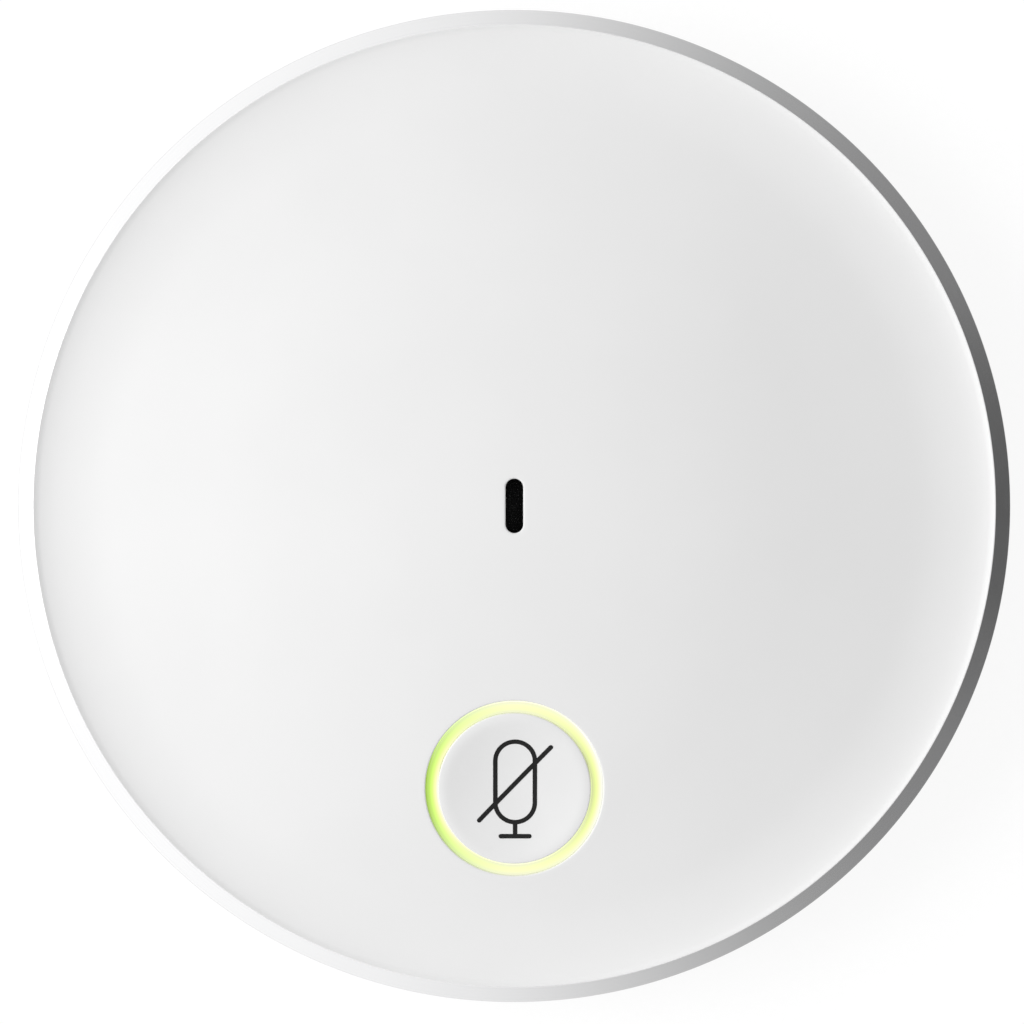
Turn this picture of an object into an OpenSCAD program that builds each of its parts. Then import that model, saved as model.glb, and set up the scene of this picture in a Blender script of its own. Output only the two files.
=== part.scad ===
// Wired conference table microphone: a shallow round puck with one microphone slot and a
// mute button in a ring of light. Millimetres, +Z up. The origin is the centre of the
// footprint, on the table. The mute button is towards -Y and the cable enters from +Y.

/* [Body] */
// Widest diameter, across the metal band
body_d = 80; // [76:1:110]
// Height from the table to the crown of the cover
body_h = 16; // [15.6:0.2:26]

/* [Cover] */
// Wall of the cover
cover_wall = 1.8; // [1.4:0.1:2.2]
// Rise of the cover from the lowest ring of its brim to its crown
dome_rise = 5.3; // [3.6:0.1:5.8]
// From the cover's edge in to where the round crown turns into the straight flank
crown_inset = 14.75; // [12:0.25:18]
// From the cover's edge in to where the hollow brim starts
brim_inset = 6.25; // [5:0.25:9]
// From the cover's edge in to the lowest ring of the brim
valley_inset = 1.75; // [1:0.25:3]
// Radius of the small upward curl at the cover's edge
curl_r = 6; // [4:0.5:10]
// Thickness of the cover's edge
rim_t = 1.3; // [1:0.1:1.8]
// Depth of the locating skirt under the cover's edge
skirt_h = 1; // [0.6:0.1:1.2]
// Wall of the locating skirt
skirt_wall = 1; // [0.8:0.1:1.6]

/* [Metal band] */
// How far the band stands out past the cover's edge
band_w = 1.4; // [0.8:0.05:2]
// Height of the bevel round the band's top
bevel_h = 0.85; // [0.5:0.05:1.5]
// Flat land between the bevel and the reveal
land_w = 0.05; // [0.05:0.05:0.4]
// Drop from the brim's lowest ring to the land
land_drop = 0.3; // [0.1:0.05:0.6]
// Width of the ledge that carries the cover
ledge_w = 1.4; // [1.2:0.05:2]
// How far the band tucks in towards the table
band_tuck = 1.1; // [0:0.1:1.4]
// Thickness of the foam between the band and the cover
gasket_t = 0.3; // [0.2:0.05:0.6]

/* [Base tray] */
// Height of the tray's underside above the table
tray_lift = 1; // [0.6:0.1:2]
// Thickness of the tray's floor
floor_t = 1.8; // [1.6:0.1:2.6]
// Wall of the tray
tray_wall = 1.4; // [1:0.1:2]
// Thickness of the lip that carries the band
lip_t = 0.4; // [0.3:0.1:0.8]

/* [Foot] */
// Outer diameter of the rubber foot ring
foot_d = 70; // [60:1:72]
// Width of the foot ring
foot_w = 5.5; // [3:0.5:6]
// Depth of the groove that holds the foot ring
foot_groove = 0.7; // [0.4:0.1:0.9]

/* [Ballast] */
// Thickness of the steel ballast plate
ballast_t = 2; // [1:0.1:2.5]
// Radius of the circle of the three ballast screws
ballast_screw_circle = 14; // [12:0.5:16]
// Diameter of the posts that the ballast screws drive into
ballast_post_d = 3.8; // [3.2:0.1:4.2]

/* [Main board] */
// Gap between the ballast plate and the main board
board_gap = 1.1; // [1:0.1:3]
// Thickness of the main board
board_t = 1.2; // [0.8:0.1:1.6]
// Gap between the main board and the tray's wall
board_margin = 2.35; // [1:0.05:4]
// From the board's edge in to the screw posts
post_inset = 4; // [3:0.25:5]
// Angle of the screw posts from the X axis
post_angle = 20; // [15:1:25]
// Diameter of the screw posts
post_d = 4.4; // [3.6:0.1:5]

/* [Housing screws] */
// From the cover's edge in to the housing screws
boss_inset = 13.75; // [13:0.25:14]
// Diameter of the cover's screw bosses
boss_d = 5.6; // [4.6:0.1:6]
// Diameter of the tray's screw sleeves
sleeve_d = 6.4; // [6:0.1:7]
// Wall between the screw head and the cover's boss
sleeve_seat = 1.8; // [1.2:0.1:2]
// Shank diameter of the housing screws
housing_screw_d = 2; // [1.6:0.1:2.5]
// Head diameter of the housing screws
housing_head_d = 4; // [3:0.1:4.4]

/* [Mute button] */
// From the cover's edge in to the centre of the button
button_inset = 16.1; // [15.5:0.05:17]
// Diameter of the button
button_d = 12.2; // [11:0.1:13]
// Travel of the button
button_travel = 0.4; // [0.2:0.05:0.5]
// Radius of the finger dish
dish_r = 30; // [24:1:80]
// Width of the flat rim round the finger dish
dish_rim = 0.2; // [0.2:0.1:1]
// Wall of the button's skirt
button_skirt = 0.9; // [0.6:0.05:1]
// Height of the catch that keeps the button in
catch_h = 0.55; // [0.4:0.05:0.8]
// How far the catch stands out from the skirt
catch_w = 0.5; // [0.3:0.05:0.6]
// Diameter of the stem that presses the switch
stem_d = 3.6; // [2.4:0.1:4]

/* [Light ring] */
// Width of the lit ring
ring_w = 0.82; // [0.6:0.02:1.2]
// Width of the flange under the cover
ring_flange_w = 1.4; // [1:0.1:1.6]
// Thickness of the flange
ring_flange_t = 0.7; // [0.5:0.1:1]
// How far the ring lies below the cover's surface
ring_sink = 0.15; // [0:0.05:0.3]
// Wall of the cover's collar round the ring
collar_wall = 1; // [0.8:0.1:1.4]
// Number of lamps under the ring
lamp_count = 6; // [4:1:8]

/* [Switch] */
// Width of the square switch under the button
switch_w = 6; // [5:0.1:6.2]
// Height of the switch body
switch_h = 1.4; // [1.2:0.1:1.6]
// Diameter of the switch's plunger
plunger_d = 3.2; // [2:0.1:3.4]
// Wire diameter of the return spring
spring_wire = 0.4; // [0.3:0.05:0.5]
// Number of turns in the return spring
spring_turns = 4; // [3:0.5:6]

/* [Microphone] */
// Width of the slot in the cover
slot_w = 1.4; // [1:0.1:2.5]
// Length of the slot in the cover
slot_l = 4.3; // [3:0.1:6]
// Diameter of the microphone capsule
capsule_d = 9.7; // [6:0.1:10]
// Height of the microphone capsule
capsule_h = 4.5; // [2.5:0.1:4.6]
// Wall of the rubber boot round the capsule
boot_wall = 1.15; // [0.8:0.05:1.5]
// Thickness of the foam ring over the boot
foam_t = 0.8; // [0.5:0.1:1.2]
// Thickness of the acoustic mesh
mesh_t = 0.15; // [0.1:0.05:0.3]

/* [Cable entry] */
// Bore of the rubber gland
gland_bore_d = 3.7; // [3:0.1:4]
// Diameter of the gland's neck, in the tray's wall
gland_neck_d = 4.8; // [4.6:0.1:5.2]
// Diameter of the gland's collar, inside the tray's wall
gland_collar_d = 5.8; // [5.4:0.1:6.2]
// Diameter of the gland's nose, in the band
gland_nose_d = 5.2; // [5:0.1:5.6]
// Length of the gland's tail, inside the collar
gland_tail = 1.6; // [0:0.1:4]

/* [Clearances] */
// Gap of a moulded part that drops into another
drop_gap = 0.15; // [0.1:0.05:0.3]
// Radial gap round the sliding button
slide_gap = 0.08; // [0.05:0.01:0.1]
// Gap between parts that must not touch
free_gap = 0.3; // [0.2:0.05:0.5]
// Visible reveal between the cover and the band
reveal = 0.05; // [0.05:0.05:0.4]
// Air between the catch and its stop, and over the switch
touch_gap = 0.05; // [0.02:0.01:0.1]

/* [Hidden] */
$fn = 96;
small_fn = 32;
cut = 0.1;

// Levels, from the table up
floor_top = tray_lift + floor_t;
ballast_top = floor_top + ballast_t;
board_z = ballast_top + board_gap;
board_top = board_z + board_t;

// Outline of the cover: round crown, straight flank, hollow brim and a small curl at the edge
cover_r = body_d / 2 - band_w;
crown_end = cover_r - crown_inset;
brim_start = cover_r - brim_inset;
valley_r = cover_r - valley_inset;
valley_z = body_h - dome_rise;
flank_slope = 2 * atan(half_slope(0, 12));
crown_r = crown_end / sin(flank_slope);
brim_r = (valley_r - brim_start) / sin(flank_slope);

// Cover's edge and the band under it
rim_z = valley_z - rim_t;
ledge_z = rim_z - gasket_t;
land_z = valley_z - land_drop;
band_r = body_d / 2;
rebate_r = cover_r + reveal;
band_bore_r = rebate_r - ledge_w;
band_z = tray_lift + lip_t;
band_foot_r = band_r - band_tuck;
skirt_r = band_bore_r - drop_gap;
skirt_in_r = skirt_r - skirt_wall;
skirt_z = rim_z - skirt_h;

// Tray
tray_r = band_bore_r - drop_gap;
tray_in_r = tray_r - tray_wall;
stack_gap = 1.3 * free_gap;
tray_top = skirt_z - stack_gap;
foot_r = foot_d / 2;

// Fasteners
boss_circle = cover_r - boss_inset;
boss_spots = [for (a = [45:90:315]) boss_circle * [cos(a), sin(a)]];
sleeve_top = board_z - stack_gap;
head_seat = sleeve_top - sleeve_seat;
housing_head_t = 1.3;
housing_thread = 5;
thread_bite = 0.1;
screw_gap = 0.2;
board_r = tray_in_r - board_margin;
post_circle = board_r - post_inset;
post_angles = [for (side = [0, 180], way = [-1, 1]) side + way * post_angle];
post_spots = [for (a = post_angles) post_circle * [cos(a), sin(a)]];
board_screw_d = 1.6;
board_head_d = 3;
board_head_t = 0.8;
board_screw_reach = 2.2;
board_pilot = board_screw_reach + 0.6;
ballast_spots = [for (a = [30:120:270]) ballast_screw_circle * [cos(a), sin(a)]];
ballast_head_d = ballast_post_d + 1.8;
ballast_head_t = 0.6;
ballast_screw_d = 1.6;
ballast_screw_l = 2.4;
ballast_post_drop = 0.1;
cross_w = 0.35;

// Button, light ring and what stands under them
button_y = -(cover_r - button_inset);
button_r = button_d / 2;
ring_in_r = button_r + slide_gap;
ring_r = ring_in_r + ring_w;
ring_hole_r = ring_r + slide_gap;
flange_r = ring_r + ring_flange_w;
collar_r = ring_hole_r + collar_wall;
flange_top = cover_under(-button_y + flange_r) - drop_gap;
flange_z = flange_top - ring_flange_t;
shroud_in_r = button_r + catch_w + free_gap;
shroud_r = flange_r + 1;
shroud_rim_z = min(flange_top, cover_under(-button_y + shroud_r)) - free_gap;
catch_top = flange_z - touch_gap;
catch_z = catch_top - catch_h;
cap_z = flange_top + 1.2;
lamp_circle = flange_r - 0.4;
lamp_size = [1.6, 0.8, 0.6];
lamp_window = [2.4, 1.2];
switch_top = board_top + switch_h;
frame_t = 0.15;
switch_wall = 0.5;
switch_floor = 0.3;
plunger_foot_t = 0.4;
plunger_foot_w = 0.5;
dome_t = 0.1;
dome_gap = 0.1;
plunger_top = switch_top + frame_t + button_travel + free_gap;
stem_z = plunger_top + touch_gap;
spring_r = button_r - button_skirt - spring_wire / 2 - 0.2;

// Microphone
well_z = cover_under(0) - 0.4;
mesh_r = slot_l / 2 + 2;
boot_r = capsule_d / 2 + boot_wall;
foam_z = well_z - mesh_t - foam_t;
foam_in_r = slot_l / 2 + 0.9;
boot_lip = 0.45;
capsule_z = foam_z - boot_lip - capsule_h;
pin_d = 0.6;
pin_gap = 0.05;
port_d = 1.2;
port_depth = 0.4;
port_circle = 1.6;
pin_reach = 0.5;
pin_spacing = 2.54;

// Cable entry
gland_z = floor_top + gland_collar_d / 2 + 0.1;
gland_collar_y = sqrt(pow(tray_in_r, 2) - pow(gland_collar_d / 2, 2)) - 0.1;
gland_neck_end = tray_r + 0.1;
gland_nose_y = band_foot_r + 0.3;
gland_collar_l = 1.1;
gland_tail_d = gland_bore_d + 1.3;
gland_start = gland_collar_y - gland_collar_l - gland_tail;
board_rear_y = gland_start - 3.5;

// Components on the board
header_size = [12.5, 5, 3.2];
header_inset = 4.5;
header_y = board_rear_y - header_inset - header_size.y / 2;
header_pins_n = 5;
header_pitch = 2;
header_pin_h = 2.2;
header_wall = 0.6;
header_back = 1;
chip_spot = [15.5, 2.5];
chip_size = [7, 7, 1];
chip_leg_n = 8;
chip_leg_pitch = 0.8;
chip_leg_size = [1, 0.3, 0.15];
chip_knee = [0.3, 0.5];
chip_lift = 0.1;
shield_spot = [-17, 1];
shield_size = [12, 15, 2];
shield_wall = 0.2;
can_spots = [[13, -9.5], [20.2, -7.6]];
can_d = 4.6;
can_h = 3.2;
can_base_t = 0.6;
passive_size = [1.6, 0.8, 0.5];
passive_rows = [[9.2, 9.2, 5], [-15.5, 11.2, 2], [-21.5, -9.2, 4], [9.5, -3.6, 5]];
passive_pitch = 2.6;

// Tangent of half the flank's slope, closer with each step: crown, flank and brim make up the rise
function half_slope(t, steps) =
    steps == 0 ? t
    : half_slope(
        dome_rise / (crown_end + valley_r - brim_start + 2 * (brim_start - crown_end) / (1 - t * t)),
        steps - 1
    );

// Height of the cover's outer surface at radius r, or of that surface sunk by d along its normal
function cover_skin(r, d = 0) =
    r <= crown_cut(d) ? crown_z() + sqrt(pow(crown_r - d, 2) - r * r)
    : r <= brim_cut(d) ? flank_z(r, d)
    : r <= valley_r ? valley_z + brim_r - sqrt(pow(brim_r + d, 2) - pow(valley_r - r, 2))
    : valley_z + curl_r - sqrt(pow(curl_r + d, 2) - pow(r - valley_r, 2));

// Height of the cover's inner surface at radius r
function cover_under(r) = cover_skin(r, cover_wall);

// Centre of the crown's round, and where the sunk surface changes from round to flank to brim
function crown_z() = body_h - crown_r;
function crown_cut(d) = (crown_r - d) * sin(flank_slope);
function brim_cut(d) = valley_r - (brim_r + d) * sin(flank_slope);
function flank_z(r, d) =
    crown_z() + (crown_r - d) * cos(flank_slope) - (r - crown_cut(d)) * tan(flank_slope);

// Half section of everything under the cover's surface sunk by d, down to the height low
module cover_section(d, low) {
    over = 0.5;
    crown_x = crown_cut(d);
    brim_x = brim_cut(d);
    union() {
        intersection() {
            translate([0, crown_z()])
                circle(r = crown_r - d, $fn = 720);
            translate([0, low])
                square([crown_x + over, body_h - low + 1]);
        }
        polygon([
            [crown_x, low],
            [brim_x + over, low],
            [brim_x + over, flank_z(brim_x + over, d)],
            [crown_x, flank_z(crown_x, d)]
        ]);
        difference() {
            translate([brim_x, low])
                square([valley_r - brim_x + over, flank_z(brim_x, d) - low]);
            translate([valley_r, valley_z + brim_r])
                circle(r = brim_r + d, $fn = 360);
        }
        difference() {
            translate([valley_r, low])
                square([cover_r - valley_r, valley_z + 1 - low]);
            translate([valley_r, valley_z + curl_r])
                circle(r = curl_r + d, $fn = 360);
        }
    }
}

// Solid under the cover's surface sunk by d
module cover_solid(d, low) {
    rotate_extrude()
        cover_section(d, low);
}

// Ring from its inner radius to its outer radius, standing on z
module tube(r_in, r_out, z, h) {
    translate([0, 0, z])
        difference() {
            cylinder(r = r_out, h = h);
            translate([0, 0, -cut])
                cylinder(r = r_in, h = h + 2 * cut);
        }
}

// Upright cylinder standing on z
module post(r, z, top, fn = small_fn) {
    translate([0, 0, z])
        cylinder(r = r, h = top - z, $fn = fn);
}

// Pan-head screw with a cross recess. The head's seat is at z = 0 and the shank points down.
module pan_screw(head_d, head_t, shank_d, shank_l) {
    tip = shank_d / 2;
    recess = head_t / 2;
    difference() {
        union() {
            cylinder(d = head_d, h = head_t, $fn = small_fn);
            translate([0, 0, tip - shank_l])
                cylinder(d = shank_d, h = shank_l - tip + cut, $fn = small_fn);
            translate([0, 0, -shank_l])
                cylinder(d1 = shank_d / 2, d2 = shank_d, h = tip, $fn = small_fn);
        }
        for (a = [0, 90])
            rotate([0, 0, a])
                translate([-head_d * 0.3, -cross_w / 2, head_t - recess])
                    cube([head_d * 0.6, cross_w, recess + cut]);
    }
}

// Upright slot with round ends, its length along Y
module slot_outline(w, l) {
    square([w, l - w], center = true);
    for (s = [-1, 1])
        translate([0, s * (l - w) / 2])
            circle(d = w, $fn = small_fn);
}

// Moves its children to the centre of the button
module at_button() {
    translate([0, button_y, 0])
        children();
}

// Cylinder along +Y, from y0 to y1, at the height of the cable
module cable_cylinder(d, y0, y1) {
    translate([0, y0, gland_z])
        rotate([-90, 0, 0])
            cylinder(d = d, h = y1 - y0, $fn = 64);
}

// White cover: thin domed wall with a skirt, four screw bosses and a collar round the light ring
module top_cover() {
    cavity_r = skirt_in_r;
    color("white")
    difference() {
        union() {
            difference() {
                cover_solid(0, rim_z);
                intersection() {
                    cover_solid(cover_wall, rim_z - 2);
                    post(cavity_r, rim_z - 3, body_h, 96);
                }
            }
            tube(skirt_in_r, skirt_r, skirt_z, skirt_h + cut);
            intersection() {
                cover_solid(cover_wall / 2, head_seat);
                union() {
                    for (p = boss_spots)
                        translate(p)
                            post(boss_d / 2, sleeve_top, body_h);
                    at_button()
                        post(collar_r, flange_top + drop_gap, body_h, 96);
                    post(boot_r + 0.5, well_z, body_h, 96);
                }
            }
        }
        for (p = boss_spots)
            translate(p)
                post(housing_screw_d / 2 - thread_bite, sleeve_top - 1, sleeve_top + housing_thread + 1);
        at_button()
            post(ring_hole_r, flange_z, body_h + 1, 96);
        translate([0, 0, well_z - 1])
            linear_extrude(body_h - well_z + 2)
                slot_outline(slot_w, slot_l);
    }
}

// Turned metal band: tucked-in side, bevelled top, and a ledge inside for the cover
module rim_band() {
    color("silver")
    difference() {
        rotate_extrude($fn = 180)
            polygon([
                [band_bore_r, band_z],
                [band_foot_r, band_z],
                [band_r, land_z - bevel_h],
                [rebate_r + land_w, land_z],
                [rebate_r, land_z],
                [rebate_r, ledge_z],
                [band_bore_r, ledge_z]
            ]);
        cable_cylinder(gland_nose_d + 2 * drop_gap, tray_r - 1, band_r + 1);
    }
}

// Foam ring between the band's ledge and the cover
module cover_gasket() {
    color("dimgray")
    tube(band_bore_r, cover_r - drop_gap, ledge_z, gasket_t);
}

// Base tray: floor with the foot groove, wall, band lip, screw sleeves and posts
module base_tray() {
    color([0.25, 0.26, 0.27])
    difference() {
        union() {
            post(tray_r, tray_lift, floor_top, 96);
            tube(tray_in_r, tray_r, floor_top - cut, tray_top - floor_top + cut);
            post(band_foot_r - free_gap / 2, tray_lift, tray_lift + lip_t, 96);
            for (p = boss_spots)
                translate(p)
                    post(sleeve_d / 2, floor_top - cut, sleeve_top);
            for (p = post_spots)
                translate(p)
                    post(post_d / 2, floor_top - cut, board_z);
            for (p = ballast_spots)
                translate(p)
                    post(ballast_post_d / 2, floor_top - cut, ballast_top - ballast_post_drop);
        }
        tube(foot_r - foot_w - drop_gap, foot_r + drop_gap, tray_lift - 1, 1 + foot_groove);
        for (p = boss_spots)
            translate(p) {
                post(housing_head_d / 2 + free_gap, tray_lift - 1, head_seat);
                post(housing_screw_d / 2 + screw_gap, head_seat - 1, sleeve_top + 1);
            }
        for (p = post_spots)
            translate(p)
                post(board_screw_d / 2 - thread_bite, board_z - board_pilot, board_z + 1);
        for (p = ballast_spots)
            translate(p)
                post(ballast_screw_d / 2 - thread_bite, tray_lift + 1, ballast_top + 1);
        cable_cylinder(gland_neck_d + 2 * cut, tray_in_r - 2, tray_r + 1);
        translate([-gland_neck_d / 2 - cut, tray_in_r - 2, gland_z])
            cube([gland_neck_d + 2 * cut, tray_wall + 3, body_h]);
    }
}

// Rubber foot ring, glued into the tray's groove
module foot_ring() {
    color([0.12, 0.12, 0.12])
    tube(foot_r - foot_w, foot_r, 0, tray_lift + foot_groove);
}

// Steel ballast plate, open round the sleeves, the posts and the gland
module ballast_plate() {
    plate_r = tray_in_r - free_gap;
    notch_w = gland_collar_d + 2 * free_gap;
    notch_y = gland_start - free_gap;
    color("slategray")
    translate([0, 0, floor_top])
        linear_extrude(ballast_t)
            difference() {
                circle(r = plate_r);
                for (p = boss_spots)
                    translate(p)
                        circle(d = sleeve_d + 2 * free_gap, $fn = small_fn);
                for (p = post_spots)
                    translate(p)
                        circle(d = post_d + 2 * free_gap, $fn = small_fn);
                for (p = ballast_spots)
                    translate(p)
                        circle(d = ballast_post_d + 2 * cut, $fn = small_fn);
                translate([-notch_w / 2, notch_y])
                    square([notch_w, plate_r]);
            }
}

// Three screws that hold the ballast plate to the tray
module ballast_screws() {
    color("gainsboro")
    for (p = ballast_spots)
        translate([p.x, p.y, ballast_top])
            pan_screw(ballast_head_d, ballast_head_t, ballast_screw_d, ballast_screw_l);
}

// Four screws up through the tray into the cover's bosses
module housing_screws() {
    color("gainsboro")
    for (p = boss_spots)
        translate([p.x, p.y, head_seat])
            rotate([180, 0, 0])
                pan_screw(housing_head_d, housing_head_t, housing_screw_d, sleeve_seat + housing_thread);
}

// Main circuit board, cut back behind the cable entry
module main_board() {
    color("darkgreen")
    translate([0, 0, board_z])
        linear_extrude(board_t)
            difference() {
                circle(r = board_r);
                for (p = boss_spots)
                    translate(p)
                        circle(d = boss_d + 2 * free_gap, $fn = small_fn);
                for (p = post_spots)
                    translate(p)
                        circle(d = board_screw_d + 2 * cut, $fn = small_fn);
                for (s = [-1, 1])
                    translate([s * pin_spacing / 2, 0])
                        circle(d = pin_d + 2 * pin_gap, $fn = small_fn);
                for (i = [0:header_pins_n - 1])
                    translate([header_pin_x(i), header_y])
                        circle(d = pin_d + 2 * cut, $fn = small_fn);
                translate([-board_r, board_rear_y])
                    square([2 * board_r, board_r]);
            }
}

// Four screws that hold the board to its posts
module board_screws() {
    color("gainsboro")
    for (p = post_spots)
        translate([p.x, p.y, board_top])
            pan_screw(board_head_d, board_head_t, board_screw_d, board_t + board_screw_reach);
}

// Mute button: dished cap whose rim follows the cover, a skirt with a catch, and a stem
module mute_button() {
    color("white") {
        difference() {
            union() {
                intersection() {
                    cover_solid(slide_gap, board_top);
                    at_button()
                        post(button_r, catch_z, body_h, 96);
                }
                at_button()
                    post(button_r + catch_w, catch_z, catch_top, 96);
            }
            at_button()
                finger_dish();
            at_button()
                post(button_r - button_skirt, catch_z - 1, cap_z, 96);
        }
        at_button()
            post(stem_d / 2, stem_z, cap_z + cut);
    }
}

// Ball that hollows the button's face, square to the cover's slope there
module finger_dish() {
    face_tilt = asin(-button_y / crown_r);
    dish_in_r = button_r - dish_rim;
    dish_depth = dish_in_r * dish_in_r / 2 * (1 / dish_r + 1 / crown_r);
    translate([0, 0, cover_skin(-button_y)])
        rotate([face_tilt, 0, 0])
            translate([0, 0, dish_r - dish_depth])
                rotate([90, 0, 0])
                    sphere(r = dish_r, $fn = 360);
}

// Clear light ring: a tube up to the cover's surface on a flange over the lamps
module light_ring() {
    color([0.85, 1, 0.45])
    difference() {
        union() {
            intersection() {
                cover_solid(ring_sink, board_top);
                at_button()
                    post(ring_r, flange_z, body_h + 1, 96);
            }
            at_button()
                post(flange_r, flange_z, flange_top, 96);
        }
        at_button()
            post(ring_in_r, flange_z - 1, body_h + 2, 96);
    }
}

// Opaque holder that carries the light ring and keeps the lamps' light in it
module light_shroud() {
    color([0.2, 0.2, 0.2])
    at_button()
        difference() {
            tube(shroud_in_r, shroud_r, board_top, shroud_rim_z - board_top);
            post(flange_r + drop_gap, flange_z, body_h, 96);
            for (i = [0:lamp_count - 1])
                at_lamp(i)
                    translate([-lamp_window.x / 2, -lamp_window.y / 2, board_top - 1])
                        cube([lamp_window.x, lamp_window.y, body_h]);
        }
}

// Turns and moves its children to lamp number i of the light ring
module at_lamp(i) {
    rotate([0, 0, (i + 0.5) * 360 / lamp_count])
        translate([0, lamp_circle, 0])
            children();
}

// Surface-mounted lamps under the light ring
module ring_lamps() {
    color("lightyellow")
    at_button()
        for (i = [0:lamp_count - 1])
            at_lamp(i)
                translate([-lamp_size.x / 2, -lamp_size.y / 2, board_top])
                    cube(lamp_size);
}

// Coil spring round the switch, from the board to the button's cap
module button_spring() {
    steps_per_turn = 20;
    sides = 8;
    wire_r = spring_wire / 2;
    low = board_top + wire_r;
    high = cap_z - wire_r;
    steps = spring_turns * steps_per_turn;
    rise = (high - low) / (360 * spring_turns);
    lean = atan(rise * 180 / (PI * spring_r));
    points = [
        for (i = [0:steps], j = [0:sides - 1])
            let (a = i * 360 / steps_per_turn, b = j * 360 / sides)
            let (out = wire_r * cos(b), up = wire_r * sin(b))
            [
                (spring_r + out) * cos(a) + up * sin(lean) * sin(a),
                (spring_r + out) * sin(a) - up * sin(lean) * cos(a),
                low + rise * a + up * cos(lean)
            ]
    ];
    walls = [
        for (i = [0:steps - 1], j = [0:sides - 1])
            let (k = (j + 1) % sides)
            [i * sides + j, i * sides + k, (i + 1) * sides + k, (i + 1) * sides + j]
    ];
    ends = [
        [for (j = [sides - 1:-1:0]) j],
        [for (j = [0:sides - 1]) steps * sides + j]
    ];
    color("silver")
    at_button()
        polyhedron(points = points, faces = concat(walls, ends), convexity = 8);
}

// Moulded body of the switch, hollow for the plunger's foot and the snap dome
module switch_body() {
    color("black")
    at_button()
        difference() {
            translate([-switch_w / 2, -switch_w / 2, board_top])
                cube([switch_w, switch_w, switch_h]);
            post(switch_w / 2 - switch_wall, board_top + switch_floor, switch_top + 1);
        }
}

// Metal plate over the switch body that keeps the plunger in
module switch_frame() {
    color("gainsboro")
    at_button()
        difference() {
            translate([-switch_w / 2, -switch_w / 2, switch_top])
                cube([switch_w, switch_w, frame_t]);
            post(plunger_d / 2 + slide_gap, switch_top - 1, switch_top + 1);
        }
}

// Plunger of the switch, with the foot that the frame holds down
module switch_plunger() {
    foot_top = switch_top - touch_gap;
    color("saddlebrown")
    at_button() {
        post(plunger_d / 2, foot_top - plunger_foot_t, plunger_top);
        post(plunger_d / 2 + plunger_foot_w, foot_top - plunger_foot_t, foot_top);
    }
}

// Sprung snap dome under the plunger
module switch_dome() {
    dome_r = switch_w / 2 - switch_wall - screw_gap;
    dome_h = switch_h - switch_floor - touch_gap - plunger_foot_t - dome_gap;
    round_r = (dome_r * dome_r + dome_h * dome_h) / (2 * dome_h);
    color("silver")
    at_button()
        translate([0, 0, board_top + switch_floor])
            rotate_extrude($fn = 64)
                intersection() {
                    square([dome_r, dome_h]);
                    difference() {
                        translate([0, dome_h - round_r])
                            circle(r = round_r, $fn = 180);
                        translate([0, dome_h - round_r])
                            circle(r = round_r - dome_t, $fn = 180);
                    }
                }
}

// Woven mesh behind the slot
module slot_mesh() {
    color([0.08, 0.08, 0.08])
    post(mesh_r, well_z - mesh_t, well_z, 64);
}

// Foam ring that seals the boot to the cover
module acoustic_foam() {
    color([0.15, 0.15, 0.15])
    tube(foam_in_r, boot_r, foam_z, foam_t);
}

// Rubber boot: floor, wall and a lip over the capsule
module microphone_boot() {
    color([0.1, 0.1, 0.1])
    difference() {
        post(boot_r, board_top, foam_z, 96);
        post(capsule_d / 2, capsule_z, capsule_z + capsule_h, 96);
        post(foam_in_r, capsule_z + 1, foam_z + 1, 96);
        for (s = [-1, 1])
            translate([s * pin_spacing / 2, 0, 0])
                post(pin_d / 2 + pin_gap, board_top - 1, capsule_z + 1);
    }
}

// Electret capsule
module microphone_capsule() {
    capsule_top = capsule_z + capsule_h;
    color("silver")
    difference() {
        post(capsule_d / 2, capsule_z, capsule_top, 96);
        for (i = [0:3])
            rotate([0, 0, i * 90])
                translate([port_circle, 0, 0])
                    post(port_d / 2, capsule_top - port_depth, capsule_top + 1);
    }
}

// The capsule's two pins, through the board
module capsule_pins() {
    color("gold")
    for (s = [-1, 1])
        translate([s * pin_spacing / 2, 0, 0])
            post(pin_d / 2, board_z - pin_reach, capsule_z);
}

// Body of the signal chip
module signal_chip() {
    color([0.1, 0.1, 0.1])
    translate([chip_spot.x - chip_size.x / 2, chip_spot.y - chip_size.y / 2, board_top + chip_lift])
        cube(chip_size);
}

// Legs along the four sides of the signal chip
module chip_legs() {
    side = (chip_leg_n - 1) / 2;
    color("gainsboro")
    translate([chip_spot.x, chip_spot.y, board_top])
        for (a = [0:90:270], i = [0:chip_leg_n - 1])
            rotate([0, 0, a])
                translate([chip_size.x / 2, (i - side) * chip_leg_pitch - chip_leg_size.y / 2, 0]) {
                    cube(chip_leg_size);
                    cube([chip_knee[0], chip_leg_size.y, chip_knee[1]]);
                }
}

// Tinned can over the preamplifier
module shield_can() {
    color("silver")
    translate([shield_spot.x - shield_size.x / 2, shield_spot.y - shield_size.y / 2, board_top])
        difference() {
            cube(shield_size);
            translate([shield_wall, shield_wall, -cut])
                cube([
                    shield_size.x - 2 * shield_wall,
                    shield_size.y - 2 * shield_wall,
                    shield_size.z - shield_wall + cut
                ]);
        }
}

// Two electrolytic capacitors
module filter_capacitors() {
    color("lightsteelblue")
    for (p = can_spots)
        translate(p) {
            post(can_d / 2, board_top, board_top + can_h, 64);
            translate([-can_d / 2, -can_d / 2, board_top])
                cube([can_d, can_d, can_base_t]);
        }
}

// Rows of chip resistors and capacitors
module small_passives() {
    color("tan")
    for (row = passive_rows, i = [0:row[2] - 1])
        translate([row[0] + i * passive_pitch, row[1], board_top])
            translate([-passive_size.y / 2, -passive_size.x / 2, 0])
                cube([passive_size.y, passive_size.x, passive_size.z]);
}

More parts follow.
